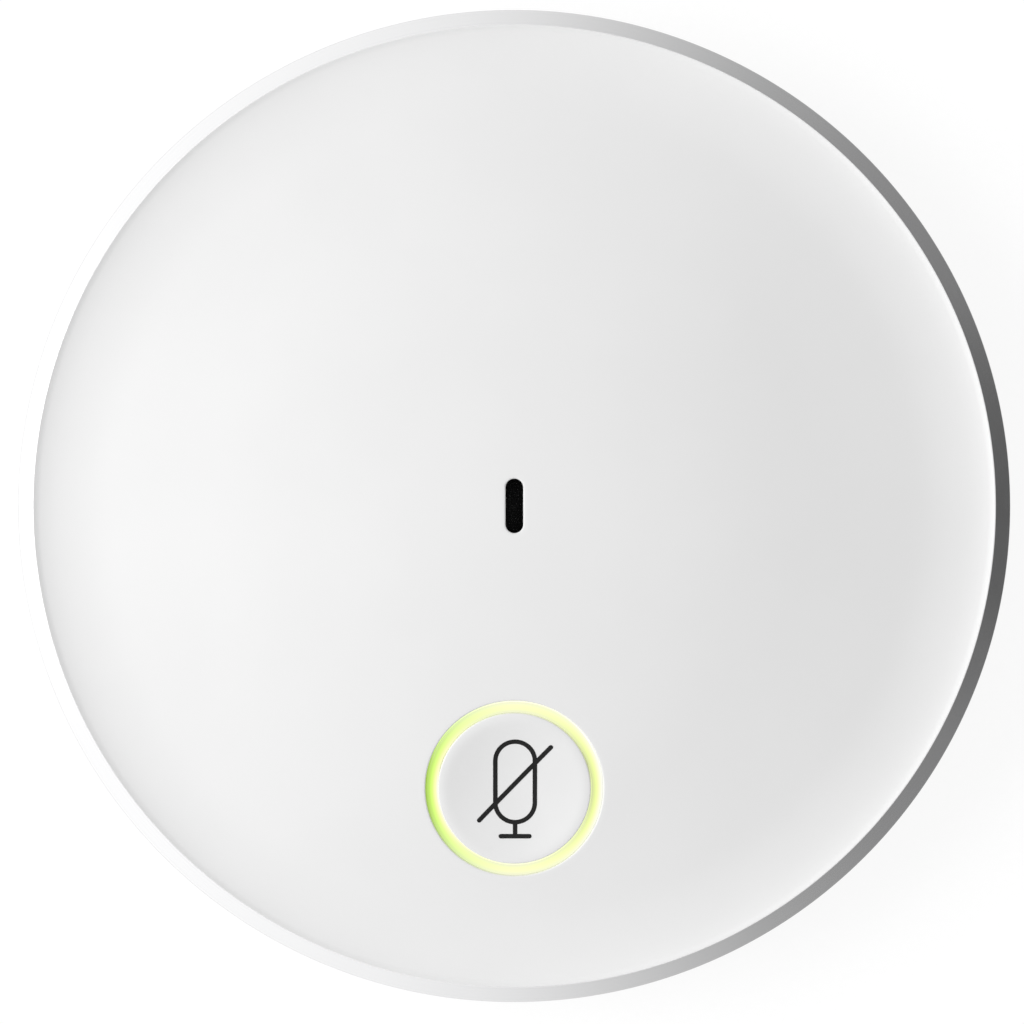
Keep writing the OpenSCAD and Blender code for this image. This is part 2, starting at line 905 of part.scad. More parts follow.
// Socket on the board for the cable's plug, open towards the gland
module cable_header() {
    wall = header_wall;
    color("ivory")
    translate([-header_size.x / 2, header_y - header_size.y / 2, board_top])
        difference() {
            cube(header_size);
            translate([wall, wall + header_back, wall])
                cube([header_size.x - 2 * wall, header_size.y, header_size.z - 2 * wall]);
            for (i = [0:header_pins_n - 1])
                translate([header_pin_x(i) + header_size.x / 2, header_size.y / 2, -cut])
                    cylinder(d = pin_d, h = wall + 2 * cut, $fn = small_fn);
        }
}

// Place of header pin number i along X
function header_pin_x(i) = (i - (header_pins_n - 1) / 2) * header_pitch;

// Pins of the socket, through the board
module header_pins() {
    color("gold")
    for (i = [0:header_pins_n - 1])
        translate([header_pin_x(i), header_y, 0])
            post(pin_d / 2, board_z - pin_reach, board_top + header_pin_h);
}

// Rubber cable gland: tail, collar, neck in the tray's wall and nose in the band
module cable_gland() {
    color([0.1, 0.1, 0.1])
    difference() {
        union() {
            cable_cylinder(gland_tail_d, gland_start, gland_collar_y);
            cable_cylinder(gland_collar_d, gland_collar_y - gland_collar_l, gland_collar_y);
            cable_cylinder(gland_neck_d, gland_collar_y - cut, gland_neck_end + cut);
            cable_cylinder(gland_nose_d, gland_neck_end, gland_nose_y);
        }
        cable_cylinder(gland_bore_d, gland_start - 1, gland_nose_y + 1);
    }
}

top_cover();
rim_band();
base_tray();
foot_ring();
ballast_plate();
ballast_screws();
housing_screws();
cover_gasket();
main_board();
board_screws();
mute_button();
light_ring();
light_shroud();
ring_lamps();
button_spring();
switch_body();
switch_frame();
switch_dome();
switch_plunger();
slot_mesh();
acoustic_foam();
microphone_boot();
microphone_capsule();
capsule_pins();
signal_chip();
chip_legs();
shield_can();
filter_capacitors();
small_passives();
cable_header();
header_pins();
cable_gland();
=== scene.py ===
# %% [markdown]
# # A conference table microphone
# The object is a white, shallow round microphone for a meeting table, 80 mm across. It has a domed
# cover with one sound slot, a dished mute button in a ring of light, and a narrow metal band.
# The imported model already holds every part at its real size. This lesson keeps the inner parts,
# gives each one a finish, and rebuilds the parts that show with the soft edges of real ones.

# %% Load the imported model
import math

import bmesh
import bpy
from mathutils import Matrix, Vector
from mathutils.geometry import delaunay_2d_cdt


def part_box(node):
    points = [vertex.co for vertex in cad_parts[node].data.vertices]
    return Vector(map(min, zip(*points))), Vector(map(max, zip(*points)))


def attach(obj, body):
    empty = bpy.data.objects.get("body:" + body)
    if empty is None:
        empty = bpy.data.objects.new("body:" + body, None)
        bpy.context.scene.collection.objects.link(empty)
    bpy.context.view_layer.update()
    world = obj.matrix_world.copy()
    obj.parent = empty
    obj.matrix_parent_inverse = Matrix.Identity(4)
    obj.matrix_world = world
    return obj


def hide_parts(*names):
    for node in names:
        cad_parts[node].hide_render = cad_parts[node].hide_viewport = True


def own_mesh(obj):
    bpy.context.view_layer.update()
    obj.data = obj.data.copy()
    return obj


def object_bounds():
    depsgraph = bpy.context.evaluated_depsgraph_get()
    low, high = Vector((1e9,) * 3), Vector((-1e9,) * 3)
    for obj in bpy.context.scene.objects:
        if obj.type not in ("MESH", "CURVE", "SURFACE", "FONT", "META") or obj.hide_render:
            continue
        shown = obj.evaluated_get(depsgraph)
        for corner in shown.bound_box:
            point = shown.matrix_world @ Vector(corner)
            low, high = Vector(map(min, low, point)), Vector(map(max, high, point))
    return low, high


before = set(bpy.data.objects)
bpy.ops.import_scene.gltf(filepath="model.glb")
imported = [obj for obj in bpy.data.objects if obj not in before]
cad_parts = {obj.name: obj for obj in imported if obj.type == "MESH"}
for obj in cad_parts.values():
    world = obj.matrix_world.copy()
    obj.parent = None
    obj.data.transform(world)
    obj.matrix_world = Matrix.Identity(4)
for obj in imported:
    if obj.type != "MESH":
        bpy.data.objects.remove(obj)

cad_low, cad_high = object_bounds()
MM = 0.001


def box_mm(node):
    """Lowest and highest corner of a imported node, in millimetres."""
    low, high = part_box(node)
    return low / MM, high / MM


print("size in mm:", [round(side / MM, 2) for side in cad_high - cad_low])

# %% [markdown]
# ## The camera
# The camera looks straight down on the object, so the outline is a circle. A long lens keeps the
# dome from bulging towards the viewer. The distance follows from the lens and from how much of the
# table the picture is wide, measured at the height of the cover's edge.

# %% Place the camera
LENS = 120
SENSOR_W = 36
VIEW_W = 82.3
VIEW_CENTRE = (-0.185, -0.484)
EDGE_Z = box_mm("rim_band")[1].z

camera = bpy.data.objects.new("camera", bpy.data.cameras.new("camera"))
bpy.context.scene.collection.objects.link(camera)
bpy.context.scene.camera = camera
camera.data.lens = LENS
camera.data.sensor_width = SENSOR_W
camera_z = EDGE_Z + VIEW_W * LENS / SENSOR_W
camera.location = Vector((*VIEW_CENTRE, camera_z)) * MM
print("camera height in mm:", round(camera_z, 1))

# %% [markdown]
# ## The shape of the cover
# The cover is one injection-moulded shell. Its section is a round crown, a straight flank, a
# hollow brim, a gentle upward curl and a narrow bead at the very edge, and each stretch runs
# smoothly into the next. The bead shows as a thin line, light on one side and dark on the other.
# One function gives the height of the surface at any radius, so that the cover, the button and
# the ring of light all take their tops from the same curve, as they would from one mould drawing.

# %% Height of the cover's surface
cover_low, cover_high = box_mm("top_cover")
COVER_R = (cover_high.x - cover_low.x) / 2
COVER_TOP = cad_high.z / MM
DOME_RISE = 5.3
CROWN_END = COVER_R - 14.75
BRIM_START = COVER_R - 6.25
VALLEY_R = COVER_R - 1.75
CURL_R = 6
BEAD_START = COVER_R - 0.55
BEAD_R = 1.6
VALLEY_Z = COVER_TOP - DOME_RISE


def flank_slope(passes=12):
    """Slope at which crown, flank and brim together make up the dome's rise."""
    tangent = 0
    for _ in range(passes):
        flank = 2 * (BRIM_START - CROWN_END) / (1 - tangent * tangent)
        tangent = DOME_RISE / (CROWN_END + VALLEY_R - BRIM_START + flank)
    return 2 * math.atan(tangent)


SLOPE = flank_slope()
CROWN_R = CROWN_END / math.sin(SLOPE)
BRIM_R = (VALLEY_R - BRIM_START) / math.sin(SLOPE)


def cover_skin(x, y):
    """Height of the cover's outer surface above the table."""
    r = math.hypot(x, y)
    if r <= CROWN_END:
        return COVER_TOP - CROWN_R + math.sqrt(CROWN_R**2 - r * r)
    if r <= BRIM_START:
        crown_edge = COVER_TOP - CROWN_R * (1 - math.cos(SLOPE))
        return crown_edge - (r - CROWN_END) * math.tan(SLOPE)
    if r <= VALLEY_R:
        return VALLEY_Z + BRIM_R - math.sqrt(BRIM_R**2 - (VALLEY_R - r) ** 2)
    curl = VALLEY_Z + CURL_R - math.sqrt(CURL_R**2 - (r - VALLEY_R) ** 2)
    return curl + max(0, r - BEAD_START) ** 2 / (2 * BEAD_R)


print("flank slope:", round(math.degrees(SLOPE), 2), "degrees")

# %% [markdown]
# ## Shells
# A shell here is just a list of points and a list of faces, in millimetres. Most parts of this
# object are turned, so the first helper sweeps an outline round an upright axis, like a lathe.
# A height in the outline may also be a function of x and y: then that edge of the turned piece
# follows the dome instead of staying level.

# %% Turn an outline round an axis
def turn(outline, centre=(0, 0), steps=256, closed=True):
    """Shell swept from (radius, height) points round an upright axis."""
    points = []
    for i in range(steps):
        angle = 2 * math.pi * i / steps
        for radius, height in outline:
            x = centre[0] + radius * math.cos(angle)
            y = centre[1] + radius * math.sin(angle)
            points.append((x, y, height(x, y) if callable(height) else height))
    count = len(outline)
    faces = []
    for i in range(steps):
        here, after = i * count, (i + 1) % steps * count
        for j in range(count if closed else count - 1):
            k = (j + 1) % count
            faces.append((here + j, here + k, after + k, after + j))
    return points, faces


# %% [markdown]
# No moulded or turned edge is perfectly sharp. An outline is written as corners with a rounding
# radius each, and this helper puts an arc at every corner. The arcs catch the light as thin lines,
# and that tells the eye that the thing is real and how big it is. Smooth shading blends over each
# face, so one more point just outside the arc keeps the flat stretches beside it truly flat.

# %% Round the corners of an outline
ARC_STEPS = 5
HOLD = 0.35


def rounded(*corners):
    """Outline points from (radius, height, rounding) corners."""
    outline = []
    for k, (radius, height, rounding) in enumerate(corners):
        here = Vector((radius, height))
        if not rounding:
            outline.append(tuple(here))
            continue
        before = (Vector(corners[k - 1][:2]) - here).normalized()
        after = (Vector(corners[(k + 1) % len(corners)][:2]) - here).normalized()
        half = before.angle(after) / 2
        middle = here + (before + after).normalized() * rounding / math.sin(half)
        start = here + before * rounding / math.tan(half) - middle
        end = here + after * rounding / math.tan(half) - middle
        sweep = math.atan2(start.x * end.y - start.y * end.x, start.dot(end))
        lead = math.atan2(start.y, start.x)
        outline.append(tuple(middle + start + before * rounding * HOLD))
        for step in range(ARC_STEPS + 1):
            angle = lead + sweep * step / ARC_STEPS
            outline.append((middle.x + rounding * math.cos(angle), middle.y + rounding * math.sin(angle)))
        outline.append(tuple(middle + end + after * rounding * HOLD))
    return outline


# %% [markdown]
# ## Sheets with holes
# The cover and the tray's floor are sheets with holes in odd places. A boolean cut would leave
# their edges razor sharp and their shading creased. Instead the plan is laid out flat, as loops of
# points round every edge and a scatter of points between them, and a Delaunay triangulation fills
# it. The loops nearest an edge sink along a quarter circle, which makes the rounded lip.

# %% Outlines of holes
def round_hole(x, y, radius, steps):
    """A circle, as a loop at a distance from its edge and a gap from any point to that edge."""

    def loop(away):
        angles = [2 * math.pi * i / steps for i in range(steps)]
        return [(x + (radius + away) * math.cos(a), y + (radius + away) * math.sin(a)) for a in angles]

    return loop, lambda px, py: math.hypot(px - x, py - y) - radius


def slot_hole(width, length, arc_steps, side_steps):
    """An upright slot with round ends, in the same form."""
    straight = (length - width) / 2

    def loop(away):
        reach = width / 2 + away
        points = []
        for sign in (1, -1):
            for i in range(arc_steps + 1):
                angle = math.pi * i / arc_steps
                points.append((sign * reach * math.cos(angle), sign * (straight + reach * math.sin(angle))))
            for i in range(1, side_steps):
                points.append((-sign * reach, sign * straight * (1 - 2 * i / side_steps)))
        return points

    return loop, lambda px, py: math.hypot(px, max(abs(py) - straight, 0)) - width / 2


# %% Lay out and triangulate a plan
LIP_STEPS = 6


def lip_rings(radius):
    """How far from an edge, and how far down, each ring of a rounded lip lies."""
    if not radius:
        return [(0, 0)]
    angles = [math.pi / 2 * (1 - k / LIP_STEPS) for k in range(LIP_STEPS + 1)]
    return [(radius * (1 - math.sin(a)), radius * (1 - math.cos(a))) for a in angles]


def plan_sheet(edge_r, edge_lip, holes, spacing, steps=256, edge_rings=()):
    """Plan of a round sheet: points, how far each sinks, triangles, and the border loops."""
    plan, sinks, walls, borders = [], [], [], []

    def add_loop(points, sink):
        first = len(plan)
        plan.extend(points)
        sinks.extend([sink] * len(points))
        walls.extend((first + k, first + (k + 1) % len(points)) for k in range(len(points)))
        return list(range(first, len(plan)))

    def add_inner(points, room):
        """Points of the open field that keep some room from every lip."""
        for x, y in points:
            from_edge = edge_r - edge_lip - math.hypot(x, y)
            if from_edge > room and all(hole[1](x, y) - lip > room for hole, lip in holes):
                plan.append((x, y))
                sinks.append(0)

    edge_loop, _ = round_hole(0, 0, edge_r, steps)
    edges = [(edge_loop, edge_lip, -1)] + [(hole[0], lip, 1) for hole, lip in holes]
    for loop, lip, outward in edges:
        rings = [add_loop(loop(outward * away), sink) for away, sink in lip_rings(lip)]
        borders.append(rings[0])
    for loop, lip, outward in edges:
        add_inner(loop(outward * (lip + spacing * 0.4)), spacing * 0.35)
    for away in edge_rings:
        add_inner(edge_loop(-away), spacing * 0.05)
    for k in range(int(edge_r / spacing)):
        around = max(1, round(2 * math.pi * k))
        angles = [2 * math.pi * (i + k / 2) / around for i in range(around)]
        add_inner([(k * spacing * math.cos(a), k * spacing * math.sin(a)) for a in angles], spacing * 0.8)
    found, _, triangles, origins, _, _ = delaunay_2d_cdt([Vector(p) for p in plan], walls, [], 0, 1e-6)
    inputs = [origin[0] for origin in origins]
    kept = []
    for triangle in triangles:
        middle = sum((found[k] for k in triangle), Vector((0, 0))) / 3
        if all(hole[1](*middle) > 0 for hole, _ in holes):
            kept.append(tuple(inputs[k] for k in triangle))
    return plan, sinks, kept, borders


# %% Join shells and make a piece of them
def weld(*shells):
    """One shell of several whose borders meet point for point."""
    places, faces = {}, []
    for points, polygons in shells:
        index = [places.setdefault(tuple(round(c, 4) + 0.0 for c in p), len(places)) for p in points]
        for polygon in polygons:
            corners = [index[k] for k in polygon]
            corners = [c for k, c in enumerate(corners) if c != corners[k - 1]]
            if len(corners) > 2:
                faces.append(tuple(corners))
    return list(places), faces


SHARP_ANGLE = math.radians(38)


def mesh_of(name, shells):
    """Mesh in metres from shells in millimetres, shaded smooth up to sharp edges."""
    made = bmesh.new()
    for points, faces in shells:
        placed = [made.verts.new(Vector(p) * MM) for p in points]
        for face in faces:
            made.faces.new([placed[k] for k in face])
    bmesh.ops.recalc_face_normals(made, faces=made.faces)
    mesh = bpy.data.meshes.new(name)
    made.to_mesh(mesh)
    made.free()
    mesh.shade_smooth()
    mesh.set_sharp_from_angle(angle=SHARP_ANGLE)
    return mesh


def piece(name, shells, body, nodes=()):
    """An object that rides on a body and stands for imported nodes."""
    made = bpy.data.objects.new(name, mesh_of(name, shells))
    bpy.context.scene.collection.objects.link(made)
    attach(made, body)
    if nodes:
        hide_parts(*nodes)
    print(f"{name}: {len(made.data.vertices)} points, {len(made.data.polygons)} faces")
    return made


# %% [markdown]
# ## The cover
# The real cover is a 1.8 mm shell of white plastic. Its underside carries four screw bosses, a
# collar round the ring of light and a skirt that drops into the band. The top and the underside
# share one plan, so each border loop above has its twin below and the walls of the holes are
# simply the quads between them. Bosses, collar and skirt are turned shells set into the underside.

# %% Sizes of the button, the ring and the slot
button_low, button_high = box_mm("mute_button")
ring_low, ring_high = box_mm("light_ring")
BUTTON_Y = (button_low.y + button_high.y) / 2
CATCH_R = (button_high.x - button_low.x) / 2
CATCH_W = 0.5
BUTTON_R = CATCH_R - CATCH_W
FLANGE_R = (ring_high.x - ring_low.x) / 2
FLANGE_W = 1.4
FLANGE_T = 0.7
RING_R = FLANGE_R - FLANGE_W
SLIDE_GAP = 0.08
RING_HOLE_R = RING_R + SLIDE_GAP
FLANGE_TOP = ring_low.z + FLANGE_T
SLOT_W = 1.4
SLOT_L = 4.3
print("button centre at y =", round(BUTTON_Y, 2), "mm, radius", round(BUTTON_R, 2), "mm")

# %% Build the cover
COVER_WALL = 1.8
RIM_T = 1.3
RIM_Z = VALLEY_Z - RIM_T
SKIRT_R = 37.1
SKIRT_W = 1
SKIRT_H = 1
COLLAR_W = 1
COLLAR_GAP = 0.15
COVER_EDGE_LIP = 0.08
BEAD_RINGS = (0.14, 0.21, 0.29, 0.46, 0.55)
RING_LIP = 0.14
SLOT_LIP = 0.14
SCREW_HEAD_R = 2
BOSS_R = 2.8
BOSS_PILOT_R = 0.9
SLEEVE_TOP = cover_low.z
BOSS_XY = box_mm("housing_screws")[1].x - SCREW_HEAD_R
BOSS_SPOTS = [(sx * BOSS_XY, sy * BOSS_XY) for sx in (-1, 1) for sy in (-1, 1)]
EMBED = 0.3


def cover_under(x, y):
    """Height of the cover's underside, level under the thick brim."""
    return max(RIM_Z, cover_skin(x, y) - COVER_WALL)


def in_the_cover(x, y):
    """A height inside the cover's wall, where bosses and collar end."""
    return cover_under(x, y) + EMBED


def cover_shell():
    """The domed wall itself, with its two openings."""
    holes = [
        (round_hole(0, BUTTON_Y, RING_HOLE_R, 192), RING_LIP),
        (slot_hole(SLOT_W, SLOT_L, 24, 8), SLOT_LIP),
    ]
    plan, sinks, triangles, borders = plan_sheet(COVER_R, COVER_EDGE_LIP, holes, 0.75, 360, BEAD_RINGS)
    upper = [(x, y, cover_skin(x, y) - sink) for (x, y), sink in zip(plan, sinks)]
    lower = [(x, y, cover_under(x, y)) for x, y in plan]
    count = len(plan)
    faces = triangles + [tuple(count + k for k in reversed(triangle)) for triangle in triangles]
    for border in borders:
        for here, after in zip(border, border[1:] + border[:1]):
            faces.append((here, after, count + after, count + here))
    return upper + lower, faces


def tube(inner, outer, low, high, centre=(0, 0), steps=64):
    """Turned tube. Its ends may follow the dome."""
    return turn([(inner, low), (outer, low), (outer, high), (inner, high)], centre, steps)


cover_shells = [
    cover_shell(),
    tube(SKIRT_R - SKIRT_W, SKIRT_R, RIM_Z - SKIRT_H, RIM_Z + EMBED, steps=256),
    tube(RING_HOLE_R, RING_HOLE_R + COLLAR_W, FLANGE_TOP + COLLAR_GAP, in_the_cover, (0, BUTTON_Y), 128),
]
cover_shells += [tube(BOSS_PILOT_R, BOSS_R, SLEEVE_TOP, in_the_cover, spot) for spot in BOSS_SPOTS]
cover = piece("cover_shell", cover_shells, "housing", ["top_cover"])

# %% [markdown]
# ## The metal band
# The band is turned from aluminium: a ledge inside carries the cover, the side tucks in towards
# the table, and a bevel runs round the top. From above only the bevel shows, as a bright or dark
# line. The hole for the cable at the rear really is a drilled one, so a boolean cut is the honest
# way to make it. The cut runs on shells, before the piece exists.

# %% Cut one shell out of another
def carved(shell, *cutters):
    """The shell with closed shells cut out of it."""
    target = bpy.data.objects.new("target", mesh_of("target", [shell]))
    tools = [bpy.data.objects.new("tool", mesh_of("tool", [cutter])) for cutter in cutters]
    for made in (target, *tools):
        bpy.context.scene.collection.objects.link(made)
    for made in tools:
        cut = target.modifiers.new("cut", "BOOLEAN")
        cut.object = made
        cut.operation = "DIFFERENCE"
        cut.solver = "EXACT"
    depsgraph = bpy.context.evaluated_depsgraph_get()
    mesh = target.evaluated_get(depsgraph).to_mesh()
    points = [tuple(v.co / MM) for v in mesh.vertices]
    faces = [tuple(f.vertices) for f in mesh.polygons]
    for made in (target, *tools):
        bpy.data.objects.remove(made)
    return points, faces


def box_shell(low, high):
    """Closed box from its lowest to its highest corner."""
    points = [(x, y, z) for x in (low[0], high[0]) for y in (low[1], high[1]) for z in (low[2], high[2])]
    return points, [(0, 1, 3, 2), (4, 6, 7, 5), (0, 4, 5, 1), (2, 3, 7, 6), (0, 2, 6, 4), (1, 5, 7, 3)]


def lying(shell, height):
    """An upright turned shell laid along +Y, its axis at a height above the table."""
    points, faces = shell
    return [(x, z, y + height) for x, y, z in points], faces


# %% Build the band
band_low, band_high = box_mm("rim_band")
gland_low, gland_high = box_mm("cable_gland")
BAND_R = band_high.x
LAND_Z = band_high.z
BAND_Z = band_low.z
REVEAL = 0.05
LAND_W = 0.05
LEDGE_W = 1.4
TUCK = 1.1
GASKET_T = 0.3
REBATE_R = COVER_R + REVEAL
BAND_BORE_R = REBATE_R - LEDGE_W
BAND_FOOT_R = BAND_R - TUCK
LEDGE_Z = RIM_Z - GASKET_T
BEVEL_H = 0.85
GLAND_Z = (gland_low.z + gland_high.z) / 2
NOSE_HOLE_R = 2.75

band_outline = rounded(
    (BAND_BORE_R, BAND_Z, 0.1),
    (BAND_FOOT_R, BAND_Z, 0.25),
    (BAND_R, LAND_Z - BEVEL_H, 0.08),
    (REBATE_R + LAND_W, LAND_Z, 0.03),
    (REBATE_R, LAND_Z, 0.015),
    (REBATE_R, LEDGE_Z, 0),
    (BAND_BORE_R, LEDGE_Z, 0.1),
)
cable_hole = lying(turn([(0, 36), (NOSE_HOLE_R, 36), (NOSE_HOLE_R, 42), (0, 42)], steps=64), GLAND_Z)
band = piece(
    "turned_band",
    [carved(turn(band_outline, steps=360), weld(cable_hole))],
    "housing",
    ["rim_band"],
)

# %% [markdown]
# ## The mute button
# The cap is a small white moulding. Its rim follows the dome, and a shallow dish tells the finger
# where the middle is. The dish is part of a large ball, set square to the slope of the dome. A
# smooth minimum of the two surfaces leaves the soft transition that a polished mould gives. Below,
# a skirt with a catch keeps the cap in, and a stem in the middle presses the switch.

# %% Shape of the button's face
DISH_R = 30
DISH_RIM = 0.2
DISH_SOFT = 0.05
dish_reach = BUTTON_R - DISH_RIM
dish_rise = DISH_R - dish_reach**2 / 2 * (1 / DISH_R + 1 / CROWN_R)
face_tilt = math.asin(-BUTTON_Y / CROWN_R)
DISH_Y = BUTTON_Y - dish_rise * math.sin(face_tilt)
DISH_Z = cover_skin(0, BUTTON_Y) + dish_rise * math.cos(face_tilt)


def button_face(x, y):
    """Height of the button's face: the dome's surface, dished."""
    level = cover_skin(x, y) - SLIDE_GAP
    dish = DISH_Z - math.sqrt(DISH_R**2 - x * x - (y - DISH_Y) ** 2)
    blend = max(0, DISH_SOFT - abs(level - dish)) / DISH_SOFT
    return min(level, dish) - blend * blend * DISH_SOFT / 4


def sunk(surface, depth):
    """The same surface, lower by a depth."""
    return lambda x, y: surface(x, y) - depth


# %% Build the button
BUTTON_LIP = 0.14
BUTTON_SIDE = 0.6
BUTTON_WALL = 0.9
CAP_RISE = 1.2
CAP_Z = FLANGE_TOP + CAP_RISE
CATCH_T = 0.55
CATCH_Z = button_low.z
CATCH_TOP = CATCH_Z + CATCH_T
STEM_R = 1.8
STEM_GAP = 0.05
STEM_Z = box_mm("switch_plunger")[1].z + STEM_GAP
SKIRT_IN_R = BUTTON_R - BUTTON_WALL
cap_outline = [(0, CAP_Z), (SKIRT_IN_R, CAP_Z), (SKIRT_IN_R, CATCH_Z), (CATCH_R, CATCH_Z)]
cap_outline += [(CATCH_R, CATCH_TOP), (BUTTON_R, CATCH_TOP), (BUTTON_R, sunk(button_face, BUTTON_SIDE))]
cap_outline += [(BUTTON_R - away, sunk(button_face, sink)) for away, sink in lip_rings(BUTTON_LIP)]
FACE_RINGS = 20
face_edge = BUTTON_R - BUTTON_LIP
cap_outline += [(face_edge * (1 - k / FACE_RINGS), button_face) for k in range(1, FACE_RINGS + 1)]
cap = turn(cap_outline, (0, BUTTON_Y), 192)
stem = turn([(0, STEM_Z), (STEM_R, STEM_Z), (STEM_R, CAP_Z + EMBED), (0, CAP_Z + EMBED)], (0, BUTTON_Y), 48)
button = piece("button_cap", [weld(cap), weld(stem)], "button", ["mute_button"])

# %% [markdown]
# ## The sign on the button
# The sign is a generic one, a microphone crossed out, pad-printed in dark ink. A texture would need
# an image, so each stroke is a thin ribbon of ink that lies on the dish. A ribbon is swept along
# the middle line of its stroke, and its half width shrinks along a quarter circle at both ends,
# because printed strokes end round.

# %% Sweep a stroke of ink
INK_W = 0.36
INK_T = 0.015
INK_SINK = 0.03


def stroke(line, closed=False, width=INK_W, lift=INK_T):
    """Ribbon of ink along points relative to the button's centre."""
    line = [Vector(p) for p in line]
    count = len(line)
    travel = [0]
    for before, here in zip(line, line[1:]):
        travel.append(travel[-1] + (here - before).length)
    points, faces = [], []
    for k, here in enumerate(line):
        after = line[(k + 1) % count] if closed or k + 1 < count else here
        before = line[k - 1] if closed or k else here
        along = (after - before).normalized()
        to_end = width if closed else min(travel[k], travel[-1] - travel[k])
        reach = max(0, width / 2 - to_end)
        half = math.sqrt(max(0, (width / 2) ** 2 - reach**2))
        for side, depth in ((1, -lift), (-1, -lift), (-1, INK_SINK), (1, INK_SINK)):
            x = here.x - side * half * along.y
            y = here.y + side * half * along.x + BUTTON_Y
            points.append((x, y, button_face(x, y) - depth))
    for k in range(count if closed else count - 1):
        here, after = 4 * k, 4 * ((k + 1) % count)
        for j in range(4):
            i = (j + 1) % 4
            faces.append((here + j, here + i, after + i, after + j))
    return weld((points, faces))


def straight_line(start, end):
    """Points between two ends, close together near them, where the ribbon's end is round."""
    start, end = Vector(start), Vector(end)
    length = (end - start).length
    near = [INK_W / 2 * (1 - math.cos(math.pi / 2 * k / 6)) / length for k in range(7)]
    far = [k / 12 for k in range(1, 12) if near[-1] < k / 12 < 1 - near[-1]]
    return [start.lerp(end, t) for t in near + far + [1 - t for t in reversed(near)]]


# %% Print the sign
MIKE_X = 0.06
MIKE_W = 3.15
MIKE_LOW = -2.74
MIKE_HIGH = 3.79
STAND_Y = -3.87
STAND_W = 2.64
SLASH = ((-2.93, -2.71), (3.02, 3.47))


def capsule_line():
    """Middle line of the microphone's outline, closed, with points every 0.2 mm or so."""
    r = MIKE_W / 2
    top, low = MIKE_HIGH - r, MIKE_LOW + r
    arc = [math.pi * k / 24 for k in range(25)]
    side = [top + (low - top) * k / 16 for k in range(1, 16)]
    line = [(r * math.cos(a), top + r * math.sin(a)) for a in arc]
    line += [(-r, y) for y in side]
    line += [(-r * math.cos(a), low - r * math.sin(a)) for a in arc]
    line += [(r, y) for y in reversed(side)]
    return [(MIKE_X + x, y) for x, y in line]


strokes = [
    stroke(capsule_line(), closed=True),
    stroke(straight_line((MIKE_X, MIKE_LOW), (MIKE_X, STAND_Y)), lift=INK_T * 1.2),
    stroke(straight_line((MIKE_X - STAND_W / 2, STAND_Y), (MIKE_X + STAND_W / 2, STAND_Y)), lift=INK_T * 1.4),
    stroke(straight_line(*SLASH), lift=INK_T * 1.6),
]
sign = piece("mute_sign", strokes, "button")

# %% [markdown]
# ## The ring of light
# A clear light guide stands round the button, on a flange over six small lamps. Its top follows the
# dome a little below it, and its edges are rounded, so the light leaves it in a soft line.

# %% Build the light guide
RING_SINK = 0.15
RING_EDGE = 0.12
RING_SIDE = 1
RING_IN_R = BUTTON_R + SLIDE_GAP
ring_top = sunk(cover_skin, RING_SINK)
guide_outline = [(RING_IN_R, ring_low.z), (FLANGE_R, ring_low.z), (FLANGE_R, FLANGE_TOP)]
guide_outline += [(RING_R, FLANGE_TOP), (RING_R, sunk(ring_top, RING_SIDE))]
guide_outline += [(RING_R - away, sunk(ring_top, sink)) for away, sink in lip_rings(RING_EDGE)]
guide_outline += [(RING_IN_R + away, sunk(ring_top, sink)) for away, sink in reversed(lip_rings(RING_EDGE))]
guide_outline.append((RING_IN_R, sunk(ring_top, RING_SIDE)))
guide_shell = turn(guide_outline, (0, BUTTON_Y), 192)
guide = piece("light_guide", [guide_shell], "housing", ["light_ring"])

# %% [markdown]
# ## The underside
# The tray closes the object from below. Four screws sit deep in its counterbores, and a rubber ring
# in a groove keeps it from sliding. The flat middle, with its holes, is a planned sheet. The outer
# part, with its groove, lip and wall, is turned, and so is the sleeve in each hole. All of them
# meet point for point, so welding them gives one closed shell.

# %% Build the tray
tray_low, tray_high = box_mm("base_tray")
TRAY_Z = tray_low.z
TRAY_FLOOR = 1.8
TRAY_WALL = 1.4
GROOVE_DEPTH = 0.7
SEAT_T = 1.8
FLOOR_TOP = TRAY_Z + TRAY_FLOOR
DISC_R = 28.2
GROOVE_IN, GROOVE_OUT = 29.35, 35.15
GROOVE_TOP = TRAY_Z + GROOVE_DEPTH
TRAY_R = SKIRT_R
TRAY_IN_R = TRAY_R - TRAY_WALL
BORE_R = 2.3
SLEEVE_R = 3.2
SEAT_Z = SLEEVE_TOP - SEAT_T
SHANK_HOLE_R = 1.2
BORE_LIP = 0.25
SMALL_HEAD_R = 1.5
BOARD_POST_ANGLES = (-20, 20, 160, 200)
BOARD_POST_R = 2.2
board_screw_x = box_mm("board_screws")[1].x - SMALL_HEAD_R
BOARD_POST_CIRCLE = board_screw_x / math.cos(math.radians(BOARD_POST_ANGLES[1]))
BALLAST_POST_ANGLES = (30, 150, 270)
BALLAST_POST_R = 1.9
BALLAST_POST_CIRCLE = 14
BALLAST_TOP = box_mm("ballast_plate")[1].z
PILOT_R = 0.7
NECK_HOLE_R = 2.5
NECK_FROM, NECK_TO = 34, 38.5


